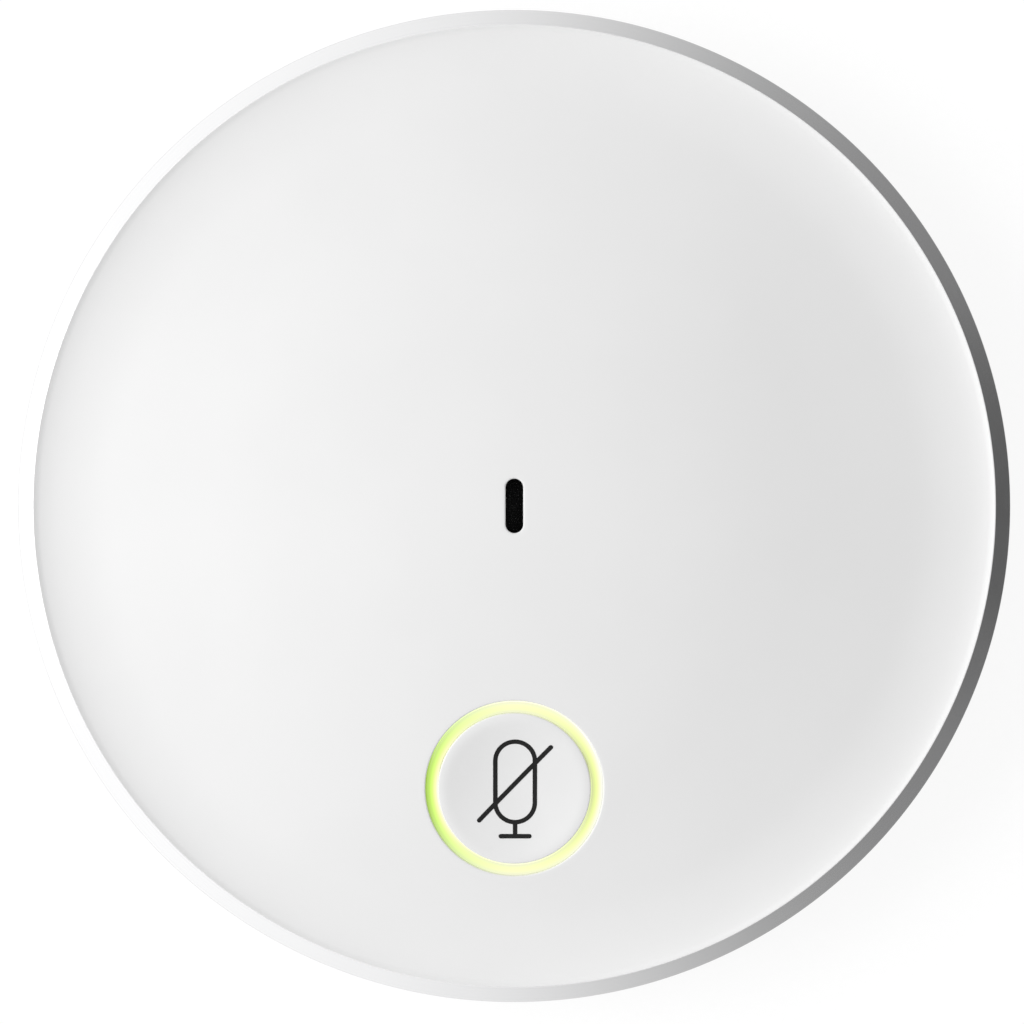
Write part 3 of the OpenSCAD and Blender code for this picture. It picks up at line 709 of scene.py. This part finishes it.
def tray_floor():
    """Flat middle of the tray: its underside, its top, and the screw sleeves that join them."""
    below = plan_sheet(DISC_R, 0, [(round_hole(*spot, BORE_R, 48), BORE_LIP) for spot in BOSS_SPOTS], 1.5)
    above = plan_sheet(DISC_R, 0, [(round_hole(*spot, SLEEVE_R, 48), 0) for spot in BOSS_SPOTS], 1.5)
    shells = [
        ([(x, y, TRAY_Z + sink) for (x, y), sink in zip(below[0], below[1])], below[2]),
        ([(x, y, FLOOR_TOP) for x, y in above[0]], above[2]),
    ]
    sleeve = [(BORE_R, TRAY_Z + BORE_LIP), (BORE_R, SEAT_Z), (SHANK_HOLE_R, SEAT_Z)]
    sleeve += [(SHANK_HOLE_R, SLEEVE_TOP), (SLEEVE_R, SLEEVE_TOP), (SLEEVE_R, FLOOR_TOP)]
    return shells + [turn(sleeve, spot, 48, closed=False) for spot in BOSS_SPOTS]


rim_corners = rounded(
    (DISC_R, TRAY_Z, 0),
    (GROOVE_IN, TRAY_Z, 0.15),
    (GROOVE_IN, GROOVE_TOP, 0),
    (GROOVE_OUT, GROOVE_TOP, 0),
    (GROOVE_OUT, TRAY_Z, 0.15),
    (tray_high.x, TRAY_Z, 0.18),
    (tray_high.x, BAND_Z, 0),
    (TRAY_R, BAND_Z, 0),
    (TRAY_R, tray_high.z, 0.1),
    (TRAY_IN_R, tray_high.z, 0.1),
    (TRAY_IN_R, FLOOR_TOP, 0),
    (DISC_R, FLOOR_TOP, 0),
)
tray_body = weld(turn(rim_corners, steps=256, closed=False), *tray_floor())
neck_outline = [(0, NECK_FROM), (NECK_HOLE_R, NECK_FROM), (NECK_HOLE_R, NECK_TO), (0, NECK_TO)]
neck_hole = weld(lying(turn(neck_outline, steps=48), GLAND_Z))
neck_slot = box_shell((-NECK_HOLE_R, NECK_FROM, GLAND_Z), (NECK_HOLE_R, NECK_TO, tray_high.z + 1))
tray_shells = [carved(tray_body, neck_hole, neck_slot)]


def posts(circle, angles, radius, top):
    """Hollow screw posts on the tray's floor, at angles in degrees."""
    spots = [(circle * math.cos(math.radians(a)), circle * math.sin(math.radians(a))) for a in angles]
    return [tube(PILOT_R, radius, FLOOR_TOP - EMBED, top, spot, 48) for spot in spots]


tray_shells += posts(BOARD_POST_CIRCLE, BOARD_POST_ANGLES, BOARD_POST_R, box_mm("main_board")[0].z)
tray_shells += posts(BALLAST_POST_CIRCLE, BALLAST_POST_ANGLES, BALLAST_POST_R, BALLAST_TOP - 0.1)
tray = piece("tray_moulding", tray_shells, "housing", ["base_tray"])

# %% [markdown]
# The foot is a moulded rubber ring. Fine ribs run round its sole: they bend a little and grip a
# polished table better than a flat face does.

# %% Build the foot
FOOT_OUT = box_mm("foot_ring")[1].x
FOOT_W = 5.5
FOOT_IN = FOOT_OUT - FOOT_W
SOLE_MARGIN = 0.5
RIB_COUNT = 5
RIB_DEPTH = 0.22


RIB_SHAPE = ((0.1, RIB_DEPTH), (0.25, 0.04), (0.35, 0), (0.65, 0), (0.75, 0.04), (0.9, RIB_DEPTH))


def sole():
    """Outline of the ribbed sole, from the inside out."""
    width = (FOOT_W - 2 * SOLE_MARGIN) / RIB_COUNT
    points = []
    for k in range(RIB_COUNT):
        start = FOOT_IN + SOLE_MARGIN + k * width
        points += [(start + share * width, depth) for share, depth in RIB_SHAPE]
    return points


foot_outline = [(FOOT_IN, 0.45), (FOOT_IN + 0.08, 0.28), (FOOT_IN + 0.28, 0.2)] + sole()
foot_outline += [(FOOT_OUT - 0.28, 0.2), (FOOT_OUT - 0.08, 0.28), (FOOT_OUT, 0.45)]
foot_outline += [(FOOT_OUT, GROOVE_TOP), (FOOT_IN, GROOVE_TOP)]
foot = piece("rubber_foot", [turn(foot_outline, steps=256)], "housing", ["foot_ring"])

# %% [markdown]
# Pan-head screws hold the tray to the cover. The cross recess is cut once, and the finished screw
# is copied to all four places, as one box of identical screws would be used.

# %% Build the screws
HEAD_T = 1.3
SHANK_R = 1.0
SHANK_L = 6.8
RECESS_L, RECESS_W = 1.15, 0.22
RECESS_Z = -0.55


def moved(shell, x, y, z):
    """The shell moved to another place."""
    points, faces = shell
    return [(px + x, py + y, pz + z) for px, py, pz in points], faces


screw_outline = rounded(
    (0, -HEAD_T, 0),
    (SCREW_HEAD_R, -HEAD_T, 0.6),
    (SCREW_HEAD_R, 0, 0.1),
    (SHANK_R, 0, 0),
    (SHANK_R, SHANK_L - SHANK_R, 0),
    (SHANK_R / 2, SHANK_L, 0.1),
    (0, SHANK_L, 0),
)
recess = [
    box_shell((-along, -across, -HEAD_T - 1), (along, across, RECESS_Z))
    for along, across in ((RECESS_L, RECESS_W), (RECESS_W, RECESS_L))
]
screw = carved(weld(turn(screw_outline, steps=48)), *recess)
screws = piece(
    "case_screws",
    [moved(screw, *spot, SEAT_Z) for spot in BOSS_SPOTS],
    "housing",
    ["housing_screws"],
)

# %% [markdown]
# The cable enters at the rear through a rubber gland: a nose in the band, a neck in the tray's
# wall, and a collar inside that takes the pull. It is turned upright and then laid down.

# %% Build the gland
TAIL_Y, NOSE_Y = gland_low.y, gland_high.y
GLAND_BORE_R = 1.85
TAIL_R, COLLAR_R, NECK_R, NOSE_R = 2.5, 2.9, 2.4, 2.6
COLLAR_START, COLLAR_END = TAIL_Y + 1.6, TAIL_Y + 2.7
NECK_END = TRAY_R + 0.1
gland_outline = rounded(
    (GLAND_BORE_R, TAIL_Y, 0.1),
    (TAIL_R, TAIL_Y, 0.15),
    (TAIL_R, COLLAR_START, 0),
    (COLLAR_R, COLLAR_START, 0.1),
    (COLLAR_R, COLLAR_END, 0.1),
    (NECK_R, COLLAR_END, 0),
    (NECK_R, NECK_END, 0),
    (NOSE_R, NECK_END, 0),
    (NOSE_R, NOSE_Y, 0.25),
    (GLAND_BORE_R, NOSE_Y, 0.2),
)
gland_shell = lying(turn(gland_outline, steps=96), GLAND_Z)
gland = piece("gland", [gland_shell], "housing", ["cable_gland"])

# %% [markdown]
# ## Spring and snap dome
# Two thin metal parts change shape when the button goes down. The coil spring is wound with closed
# ends, so its pitch is small in the first and the last turn. The snap dome is a disc spring that
# gives the click. Both are built at rest, each with a mesh of its own.

# %% Wind the return spring
BOARD_TOP = box_mm("switch_body")[0].z
WIRE_R = 0.2
COIL_R = SKIRT_IN_R - WIRE_R - 0.2
TURN_STEPS = 48
WIRE_SIDES = 12
spring_low, spring_high = BOARD_TOP + WIRE_R, CAP_Z - WIRE_R
END_RISE = 0.45


def wire_height(turns):
    """Height of the wire's middle after so many of the four turns."""
    middle_rise = (spring_high - spring_low - 2 * END_RISE) / 2
    steps = (END_RISE, middle_rise, middle_rise, END_RISE)
    whole = min(int(turns), 3)
    return spring_low + sum(steps[:whole]) + steps[whole] * (turns - whole)


def smooth_height(turns):
    """The same height, averaged over a third of a turn, so the pitch changes gently."""
    near = [min(max(turns + k / 24, 0), 4) for k in range(-4, 5)]
    return sum(wire_height(t) for t in near) / len(near)


def spring_shell():
    points, faces = [], []
    steps = 4 * TURN_STEPS
    for i in range(steps + 1):
        angle = 2 * math.pi * i / TURN_STEPS
        for j in range(WIRE_SIDES):
            around = 2 * math.pi * j / WIRE_SIDES
            radius = COIL_R + WIRE_R * math.cos(around)
            z = smooth_height(i / TURN_STEPS) + WIRE_R * math.sin(around)
            points.append((radius * math.cos(angle), BUTTON_Y + radius * math.sin(angle), z))
    for i in range(steps):
        for j in range(WIRE_SIDES):
            k = (j + 1) % WIRE_SIDES
            first, second = i * WIRE_SIDES, (i + 1) * WIRE_SIDES
            faces.append((first + j, first + k, second + k, second + j))
    faces.append(tuple(range(WIRE_SIDES - 1, -1, -1)))
    faces.append(tuple(steps * WIRE_SIDES + j for j in range(WIRE_SIDES)))
    return points, faces


spring = piece("return_spring", [spring_shell()], "housing", ["button_spring"])
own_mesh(spring)

# %% Build the snap dome
dome_low, dome_high = box_mm("switch_dome")
DOME_R = dome_high.x
DOME_T = 0.1
dome_height = dome_high.z - dome_low.z
round_r = (DOME_R**2 + dome_height**2) / (2 * dome_height)
dome_middle = dome_high.z - round_r


def dome_point(radius, sink):
    """A point of the dome's section."""
    return radius, max(dome_low.z, dome_middle + math.sqrt((round_r - sink) ** 2 - radius**2))


DOME_STEPS = 12
outer_arc = [dome_point(DOME_R * k / DOME_STEPS, 0) for k in range(DOME_STEPS + 1)]
inner_arc = [dome_point((DOME_R - DOME_T) * k / DOME_STEPS, DOME_T) for k in range(DOME_STEPS, -1, -1)]
snap_dome = piece(
    "snap_dome",
    [weld(turn(outer_arc + inner_arc, (0, BUTTON_Y), 64))],
    "housing",
    ["switch_dome"],
)
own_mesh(snap_dome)

# %% [markdown]
# ## How the finishes are written
# Every finish below starts from a real material and from how its surface was made. Colours are
# written as sRGB hex codes, as on a colour card, and one function turns them into the linear
# values that a renderer works with. One more function adds a node, sets it and links it. Patterns
# take their scale from a real size in millimetres, so grain on a 2 mm screw and on the 80 mm cover
# is equally fine.

# %% Colour and node helpers
def linear(code):
    """Linear colour of an sRGB hex code."""
    channels = [int(code[k : k + 2], 16) / 255 for k in (1, 3, 5)]
    return tuple(c / 12.92 if c <= 0.04045 else ((c + 0.055) / 1.055) ** 2.4 for c in channels) + (1,)


def add(tree, kind, inputs=None, **settings):
    """One node. An input takes a value, or the output that it is linked to."""
    made = tree.nodes.new(kind)
    for name, value in settings.items():
        setattr(made, name, value)
    for key, value in (inputs or {}).items():
        if isinstance(value, bpy.types.NodeSocket):
            tree.links.new(value, made.inputs[key])
        else:
            made.inputs[key].default_value = value
    return made


def ramp(tree, amount, *stops):
    """Colour between (position, hex code) stops."""
    made = add(tree, "ShaderNodeValToRGB", {"Fac": amount})
    elements = made.color_ramp.elements
    while len(elements) < len(stops):
        elements.new(0.5)
    for element, (position, code) in zip(elements, stops):
        element.position = position
        element.color = linear(code)
    return made.outputs["Color"]


def between(tree, amount, start, end, low, high):
    """A number that goes from low to high as amount goes from start to end."""
    inputs = {"Value": amount, "From Min": start, "From Max": end, "To Min": low, "To Max": high}
    return add(tree, "ShaderNodeMapRange", inputs).outputs["Result"]


def calc(tree, kind, first, second):
    """A number worked out from two others."""
    return add(tree, "ShaderNodeMath", {0: first, 1: second}, operation=kind).outputs[0]


def shifted(tree, kind, place, by):
    """A place changed by a vector."""
    return add(tree, "ShaderNodeVectorMath", {0: place, 1: by}, operation=kind).outputs[0]


def mixed(tree, amount, first, second):
    """Colour that goes from the first to the second as amount goes from 0 to 1."""
    return add(tree, "ShaderNodeMix", {0: amount, 6: first, 7: second}, data_type="RGBA").outputs[2]


def level_distance(tree, place):
    """Distance of a place from the upright axis."""
    level = shifted(tree, "MULTIPLY", place, (1, 1, 0))
    return add(tree, "ShaderNodeVectorMath", {0: level}, operation="LENGTH").outputs["Value"]


def new_finish(name, metallic=0, ior=1.5):
    """Material, its nodes, its shader, and the place on the object in metres."""
    finish = bpy.data.materials.new(name)
    finish.use_nodes = True
    tree = finish.node_tree
    shader = tree.nodes["Principled BSDF"]
    shader.inputs["Metallic"].default_value = metallic
    if not metallic:
        shader.inputs["IOR"].default_value = ior
    return finish, tree, shader, add(tree, "ShaderNodeTexCoord").outputs["Object"]


def noise(tree, place, size, detail=3):
    """Noise from about 0.3 to 0.7, its blotches about size millimetres wide."""
    inputs = {"Vector": place, "Scale": 1 / (size * MM), "Detail": detail}
    return add(tree, "ShaderNodeTexNoise", inputs).outputs[0]


def relief(tree, shader, height, depth):
    """Bump of a depth in micrometres."""
    bump = add(tree, "ShaderNodeBump", {"Height": height, "Distance": depth * MM * MM})
    tree.links.new(bump.outputs["Normal"], shader.inputs["Normal"])


def textured(name, tones, roughness, grain, depth, patches=6, stretch=(1, 1, 1), **kind):
    """Finish with tone, gloss and grain that vary a little over the surface, as on any real part."""
    finish, tree, shader, place = new_finish(name, **kind)
    place = shifted(tree, "MULTIPLY", place, stretch)
    wide = noise(tree, place, patches)
    fine = noise(tree, place, grain)
    tree.links.new(ramp(tree, wide, (0.35, tones[0]), (0.65, tones[1])), shader.inputs["Base Color"])
    tree.links.new(between(tree, fine, 0.3, 0.7, *roughness), shader.inputs["Roughness"])
    relief(tree, shader, fine, depth)
    return finish


def dress(finish, *things):
    """Gives pieces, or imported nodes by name, their finish."""
    for thing in things:
        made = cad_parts[thing] if isinstance(thing, str) else thing
        if not made.material_slots:
            made.data.materials.append(finish)
        for place in made.material_slots:
            place.link = "OBJECT"
            place.material = finish


# %% [markdown]
# ## White mouldings
# Cover and button are ABS, a white, slightly glossy plastic. The mould of the cover was
# spark-eroded: that leaves a grain of about a tenth of a millimetre, too fine to see as such, which
# turns mirror reflections into a soft, even sheen. The button's mould was polished further.

# %% Moulded ABS
dress(textured("spark_textured_abs", ("#EBEBEB", "#EDEDED"), (0.56, 0.64), 0.12, 1, patches=14), cover)
dress(textured("polished_abs", ("#EAEAEA", "#ECECEC"), (0.42, 0.48), 0.1, 0.4, patches=4), button)

# %% [markdown]
# ## Turned, anodised aluminium
# The band was turned on a lathe and then anodised to a satin finish. Two things tell the eye so:
# fine lines that all run round the band, and highlights that stretch across those lines. The lines
# are noise over radius and height only, so every one is a full circle. The stretched highlight is
# the shader's own anisotropy, with its tangent round the upright axis.

# %% Satin aluminium
TURNING_MM = 0.09
satin, tree, shader, place = new_finish("turned_anodised_aluminium", metallic=1)
shader.inputs["Anisotropic"].default_value = 0.3
radius = level_distance(tree, place)
height = add(tree, "ShaderNodeSeparateXYZ", {0: place}).outputs["Z"]
section = add(tree, "ShaderNodeCombineXYZ", {0: radius, 1: height}).outputs[0]
lines = noise(tree, section, TURNING_MM, detail=1)
cloud = noise(tree, place, 5)
tree.links.new(ramp(tree, lines, (0.3, "#E6E6E7"), (0.7, "#ECECEC")), shader.inputs["Base Color"])
tree.links.new(between(tree, cloud, 0.3, 0.7, 0.17, 0.22), shader.inputs["Roughness"])
tangent = add(tree, "ShaderNodeTangent", direction_type="RADIAL", axis="Z").outputs["Tangent"]
tree.links.new(tangent, shader.inputs["Tangent"])
relief(tree, shader, lines, 0.7)
dress(satin, band)

# %% [markdown]
# ## The lit acrylic
# Acrylic is clear, and the light guide is filled with light from six lamps below. What the eye
# gets is a pale yellow glow at the front and the back of the ring. On the left and on the right the
# glow's colour holds painted shade and painted light from the lamp on the left: the groove wall
# turned away from that lamp is painted olive green, and the wall turned towards it nearly white.
# One colour ramp over the width of the ring says how the glow runs at the front and the back, and
# one more for each side holds that painted shade. The shader glows by itself at strength 1, so the
# colours show as written.

# %% Acrylic light guide
acrylic, tree, shader, place = new_finish("lit_acrylic_painted_shade", ior=1.49)
shader.inputs["Emission Strength"].default_value = 1
shader.inputs["Roughness"].default_value = 0.3

ring_centre = (0, BUTTON_Y * MM, 0)
from_centre = shifted(tree, "SUBTRACT", place, ring_centre)
radius = level_distance(tree, from_centre)
sideways = calc(tree, "DIVIDE", add(tree, "ShaderNodeSeparateXYZ", {0: from_centre}).outputs["X"], radius)
outwards = between(tree, radius, RING_IN_R * MM, RING_R * MM, -1, 1)
inner_to_outer = between(tree, outwards, -1, 1, 0, 1)
# Painted light for the groove walls: 0 on the wall turned away from the lamp on the left, painted in shade, 1
# on the wall turned towards it.
painted_wall_light = between(tree, calc(tree, "MULTIPLY", sideways, outwards), -1, 1, 0, 1)
# Side ramps: painted shade, olive green, on the shaded wall, the glow's own yellow green in between, and
# painted light, nearly white, on the lit wall.
LEFT_PAINTED_SHADE_TONES = [(0, "#A9CC58"), (0.3, "#BFE95E"), (0.45, "#D2FB6E")]
LEFT_PAINTED_SHADE_TONES += [(0.6, "#E0FB80"), (0.85, "#FBFDB4"), (1, "#FBFCCA")]
RIGHT_PAINTED_SHADE_TONES = [(0, "#CBD49A"), (0.27, "#E3EF98"), (0.45, "#F0FCA2")]
RIGHT_PAINTED_SHADE_TONES += [(0.6, "#F6FEB6"), (0.85, "#FCFDE0"), (1, "#FDFDF2")]
FRONT_TONES = [(0.05, "#EEF0CC"), (0.3, "#F8FBC0"), (0.65, "#FAFCC4"), (0.95, "#F1F2D2")]
left_painted_shade = ramp(tree, painted_wall_light, *LEFT_PAINTED_SHADE_TONES)
right_painted_shade = ramp(tree, painted_wall_light, *RIGHT_PAINTED_SHADE_TONES)
front_and_back = ramp(tree, inner_to_outer, *FRONT_TONES)
which_side = between(tree, sideways, -0.2, 0.2, 0, 1)
sides_painted_shade = mixed(tree, which_side, left_painted_shade, right_painted_shade)
sideness = calc(tree, "POWER", calc(tree, "MULTIPLY", sideways, sideways), 0.8)
# The glow colour carries the painted shade and painted light of the side walls.
glow = mixed(tree, sideness, front_and_back, sides_painted_shade)
tree.links.new(glow, shader.inputs["Emission Color"])
# The base colour is painted shade as well: darker on the wall turned away from the lamp.
tree.links.new(ramp(tree, painted_wall_light, (0, "#141A08"), (1, "#232B10")), shader.inputs["Base Color"])
dress(acrylic, guide)

# %% [markdown]
# ## Ink, grey tray and rubber
# Pad-printing ink is dark and dries with a soft gloss, a little thicker in some places. The tray is
# a glass-filled ABS in dark grey, coarser and duller than the cover. The foot is a matt rubber that
# takes up dust, which shows as paler patches. The gland and the boot are a softer, darker rubber.

# %% Ink, tray, foot and gland
ink = textured("pad_print_ink", ("#050505", "#0E0E0E"), (0.65, 0.75), 0.15, 0.8, patches=1)
ink.node_tree.nodes["Principled BSDF"].inputs["Specular IOR Level"].default_value = 0.3
dress(ink, sign)
dress(textured("glass_filled_abs", ("#3A3C3E", "#434547"), (0.5, 0.62), 0.18, 5, patches=9), tray)
dress(textured("moulded_rubber", ("#171718", "#232324"), (0.7, 0.85), 0.25, 6, patches=3, ior=1.52), foot)
soft_rubber = textured("silicone_rubber", ("#111112", "#19191A"), (0.5, 0.62), 0.2, 3, patches=2, ior=1.43)
dress(soft_rubber, gland, "microphone_boot")

# %% [markdown]
# ## Screws and other steel
# Zinc plating is a bright, slightly blue metal with small dull patches. The ballast is sheet steel,
# and rolling has drawn its grain out along one direction, so the noise is stretched along X. Spring
# wire is drawn and smooth, and tinned parts have the crystals of the tin, a millimetre wide.

# %% Steels
zinc = textured("zinc_plated_steel", ("#B9BDC2", "#CDD0D3"), (0.28, 0.42), 0.3, 1, patches=1.2, metallic=1)
dress(zinc, screws, "ballast_screws", "board_screws")
rolled = textured(
    "rolled_steel", ("#8E9092", "#A3A5A7"), (0.35, 0.5), 0.2, 2, patches=2, stretch=(0.06, 1, 1), metallic=1
)
dress(rolled, "ballast_plate")
drawn_wire = textured("spring_steel_wire", ("#A9ABAE", "#BBBDC0"), (0.2, 0.28), 0.1, 0.5, 1, metallic=1)
dress(drawn_wire, spring, snap_dome)
tinned = textured("tinned_steel", ("#BDBEBE", "#D2D3D3"), (0.3, 0.45), 0.9, 1, patches=1.4, metallic=1)
dress(tinned, "switch_frame", "chip_legs", "shield_can")
drawn_can = textured("drawn_aluminium", ("#C4C6C8", "#D3D5D7"), (0.3, 0.38), 0.15, 1, 3, metallic=1)
dress(drawn_can, "microphone_capsule")
gilt = textured("gold_plated_brass", ("#D8B25A", "#E6C476"), (0.22, 0.3), 0.1, 0.5, 0.8, metallic=1)
dress(gilt, "capsule_pins", "header_pins")
sleeved = textured("sleeved_aluminium", ("#9FA9B4", "#AEB7C0"), (0.3, 0.4), 0.2, 1, 2, metallic=1)
dress(sleeved, "filter_capacitors")

# %% [markdown]
# ## Plastics inside
# Engineering plastics inside are left as they come from the mould: a black PBT for the holder of
# the light guide, nylon for the switch and the socket, a brown acetal plunger, and a grey-black
# epoxy round the chip. Ceramic chip parts are tan and dry. Foam is matt with open cells.

# %% Inner mouldings, chips and foam
dress(textured("black_pbt", ("#131313", "#1C1C1C"), (0.45, 0.6), 0.15, 3), "light_shroud")
dress(textured("black_nylon", ("#141415", "#1D1D1F"), (0.35, 0.5), 0.1, 2, 2, ior=1.53), "switch_body")
dress(textured("brown_acetal", ("#6A3F22", "#7A4B2B"), (0.3, 0.4), 0.1, 1, 1.5, ior=1.48), "switch_plunger")
dress(textured("ivory_nylon", ("#E4DCC4", "#EEE7D2"), (0.4, 0.5), 0.15, 2, 3, ior=1.53), "cable_header")
dress(textured("moulded_epoxy", ("#1E1F20", "#282A2B"), (0.5, 0.65), 0.12, 3, 2, ior=1.55), "signal_chip")
dress(textured("fired_ceramic", ("#A98C66", "#BEA27C"), (0.45, 0.6), 0.15, 2, 0.6, ior=1.6), "small_passives")
foam = textured("polyurethane_foam", ("#202020", "#333333"), (0.9, 1), 0.35, 60, 0.5)
dress(foam, "cover_gasket", "acoustic_foam")

# %% [markdown]
# ## Circuit board, lamps and mesh
# A board is woven glass under a green lacquer, and the copper under the lacquer shows as paler
# bands: a brick pattern with long bricks comes close to bundles of tracks. The lamps are yellow
# phosphor that glows. The mesh behind the slot is black polyester, woven a quarter of a
# millimetre apart: two crossed waves give its threads.

# %% Board, lamps and mesh
TRACK_W = 1.2
lacquer, tree, shader, place = new_finish("lacquered_glass_board", ior=1.52)
tracks = add(
    tree,
    "ShaderNodeTexBrick",
    {
        "Vector": place,
        "Color1": linear("#1F5A36"),
        "Color2": linear("#246440"),
        "Mortar": linear("#153F26"),
        "Scale": 1 / (TRACK_W * MM),
        "Mortar Size": 0.06,
        "Brick Width": 6.0,
        "Row Height": 1.0,
    },
)
tree.links.new(tracks.outputs["Color"], shader.inputs["Base Color"])
tree.links.new(between(tree, noise(tree, place, 0.5), 0.3, 0.7, 0.25, 0.35), shader.inputs["Roughness"])
relief(tree, shader, tracks.outputs["Fac"], -15)
dress(lacquer, "main_board")

phosphor, tree, shader, place = new_finish("lamp_phosphor")
shader.inputs["Emission Strength"].default_value = 1
shader.inputs["Roughness"].default_value = 0.4
grains = noise(tree, place, 0.1)
tree.links.new(ramp(tree, grains, (0.3, "#E8E64A"), (0.7, "#F6F36A")), shader.inputs["Emission Color"])
tree.links.new(ramp(tree, grains, (0.3, "#C8B640"), (0.7, "#D8C858")), shader.inputs["Base Color"])
dress(phosphor, "ring_lamps")

THREAD_MM = 0.25
woven, tree, shader, place = new_finish("woven_polyester", ior=1.57)
shader.inputs["Roughness"].default_value = 0.9
shader.inputs["Specular IOR Level"].default_value = 0.2
wave_scale = math.pi / 10 / (THREAD_MM * MM)
threads = [
    add(tree, "ShaderNodeTexWave", {"Vector": place, "Scale": wave_scale}, bands_direction=way).outputs["Fac"]
    for way in ("X", "Y")
]
weave = calc(tree, "MAXIMUM", *threads)
tree.links.new(ramp(tree, weave, (0.4, "#000000"), (1, "#060606")), shader.inputs["Base Color"])
relief(tree, shader, weave, 60)
dress(woven, "slot_mesh")

# %% [markdown]
# ## Floor, room and lamp
# The floor is matt. It glows for the camera, so that it shows as white, and a little less for
# reflections, so that the side of the metal band stays a soft grey. The light it takes from the
# lamp carries the object's shadow. The room is drawn in the world's own nodes: a plain level of
# light for matt surfaces, white for the camera, and for reflections bright walls on the left that
# grow dark towards the right, which is what gives the metal band its bright and its dark side.

# %% Floor
FLOOR_R = 6000
floor_points = [(sx * FLOOR_R, sy * FLOOR_R, 0) for sx, sy in ((-1, -1), (1, -1), (1, 1), (-1, 1))]
floor_mesh = mesh_of("floor", [(floor_points, [(0, 1, 2, 3)])])
floor = bpy.data.objects.new("floor", floor_mesh)
bpy.context.scene.collection.objects.link(floor)

FLOOR_GLOW = 0.865
MIRRORED_GLOW = 0.62
paper = bpy.data.materials.new("matt_paper")
paper.use_nodes = True
tree = paper.node_tree
tree.nodes.remove(tree.nodes["Principled BSDF"])
path = add(tree, "ShaderNodeLightPath").outputs
seen = calc(tree, "MAXIMUM", path["Is Camera Ray"], path["Is Transmission Ray"])
seen_glow = calc(tree, "MULTIPLY", seen, FLOOR_GLOW)
mirrored_glow = calc(tree, "MULTIPLY", path["Is Glossy Ray"], MIRRORED_GLOW)
glow_strength = calc(tree, "MAXIMUM", seen_glow, mirrored_glow)
fibres = noise(tree, add(tree, "ShaderNodeTexCoord").outputs["Object"], 0.6)
matt = add(tree, "ShaderNodeBsdfDiffuse", {"Color": ramp(tree, fibres, (0.3, "#6C6C6C"), (0.7, "#707070"))})
lit = add(tree, "ShaderNodeEmission", {"Color": linear("#FFFFFF"), "Strength": glow_strength})
both = add(tree, "ShaderNodeAddShader", {0: matt.outputs[0], 1: lit.outputs[0]})
tree.links.new(both.outputs[0], tree.nodes["Material Output"].inputs["Surface"])
dress(paper, floor)

# %% Room
AMBIENT = 0.625
WALL_STRENGTH = 1.22
room = bpy.data.worlds.new("room")
bpy.context.scene.world = room
room.use_nodes = True
tree = room.node_tree
path = add(tree, "ShaderNodeLightPath").outputs
direction = add(tree, "ShaderNodeTexCoord").outputs["Generated"]
axes = add(tree, "ShaderNodeSeparateXYZ", {0: direction}).outputs
rightward = between(tree, axes["X"], -1, 1, 0, 1)
WALL_TONES = [(0.15, "#FFFFFF"), (0.37, "#F3F3F3"), (0.5, "#E4E4E4"), (0.63, "#C4C4C4")]
WALL_TONES += [(0.75, "#A2A2A2"), (0.85, "#8A8A8A"), (0.93, "#7A7A7A"), (1, "#404040")]
walls = ramp(tree, rightward, *WALL_TONES)
upward = between(tree, axes["Z"], 0.55, 0.95, 0, 1)
around = mixed(tree, upward, walls, linear("#F4F4F4"))
ambient = tree.nodes["Background"]
ambient.inputs["Color"].default_value = linear("#FFFFFF")
ambient.inputs["Strength"].default_value = AMBIENT
mirrored = add(tree, "ShaderNodeBackground", {"Color": around, "Strength": WALL_STRENGTH})
white = add(tree, "ShaderNodeBackground", {"Color": linear("#FFFFFF"), "Strength": 1})
lit = {0: path["Is Glossy Ray"], 1: ambient.outputs[0], 2: mirrored.outputs[0]}
lit_or_mirrored = add(tree, "ShaderNodeMixShader", lit)
straight_on = calc(tree, "MAXIMUM", path["Is Camera Ray"], path["Is Transmission Ray"])
whole = add(tree, "ShaderNodeMixShader", {0: straight_on, 1: lit_or_mirrored.outputs[0], 2: white.outputs[0]})
tree.links.new(whole.outputs[0], tree.nodes["World Output"].inputs["Surface"])

# %% [markdown]
# One large soft lamp stands on the left, a little above half height. Its light falls off gently
# over the dome, so the left flank is a little brighter than the right one. A big lamp gives the
# floor a soft shadow with no hard edge.

# %% Lamp
LAMP_SIZE = 1350
LAMP_AWAY = 2400
LAMP_HEIGHT_DEG = 40
LAMP_TURN_DEG = 176
LAMP_WATTS = 34
softbox = bpy.data.objects.new("softbox", bpy.data.lights.new("softbox", "AREA"))
bpy.context.scene.collection.objects.link(softbox)
softbox.data.energy = LAMP_WATTS
softbox.data.size = LAMP_SIZE * MM
rise, turned_by = math.radians(LAMP_HEIGHT_DEG), math.radians(LAMP_TURN_DEG)
level_way = Vector((math.cos(turned_by), math.sin(turned_by), 0)) * math.cos(rise)
lamp_way = level_way + Vector((0, 0, math.sin(rise)))
softbox.location = lamp_way * LAMP_AWAY * MM
softbox.rotation_euler = lamp_way.to_track_quat("Z", "Y").to_euler()

# %% Plain colour handling
bpy.context.scene.view_settings.view_transform = "Standard"
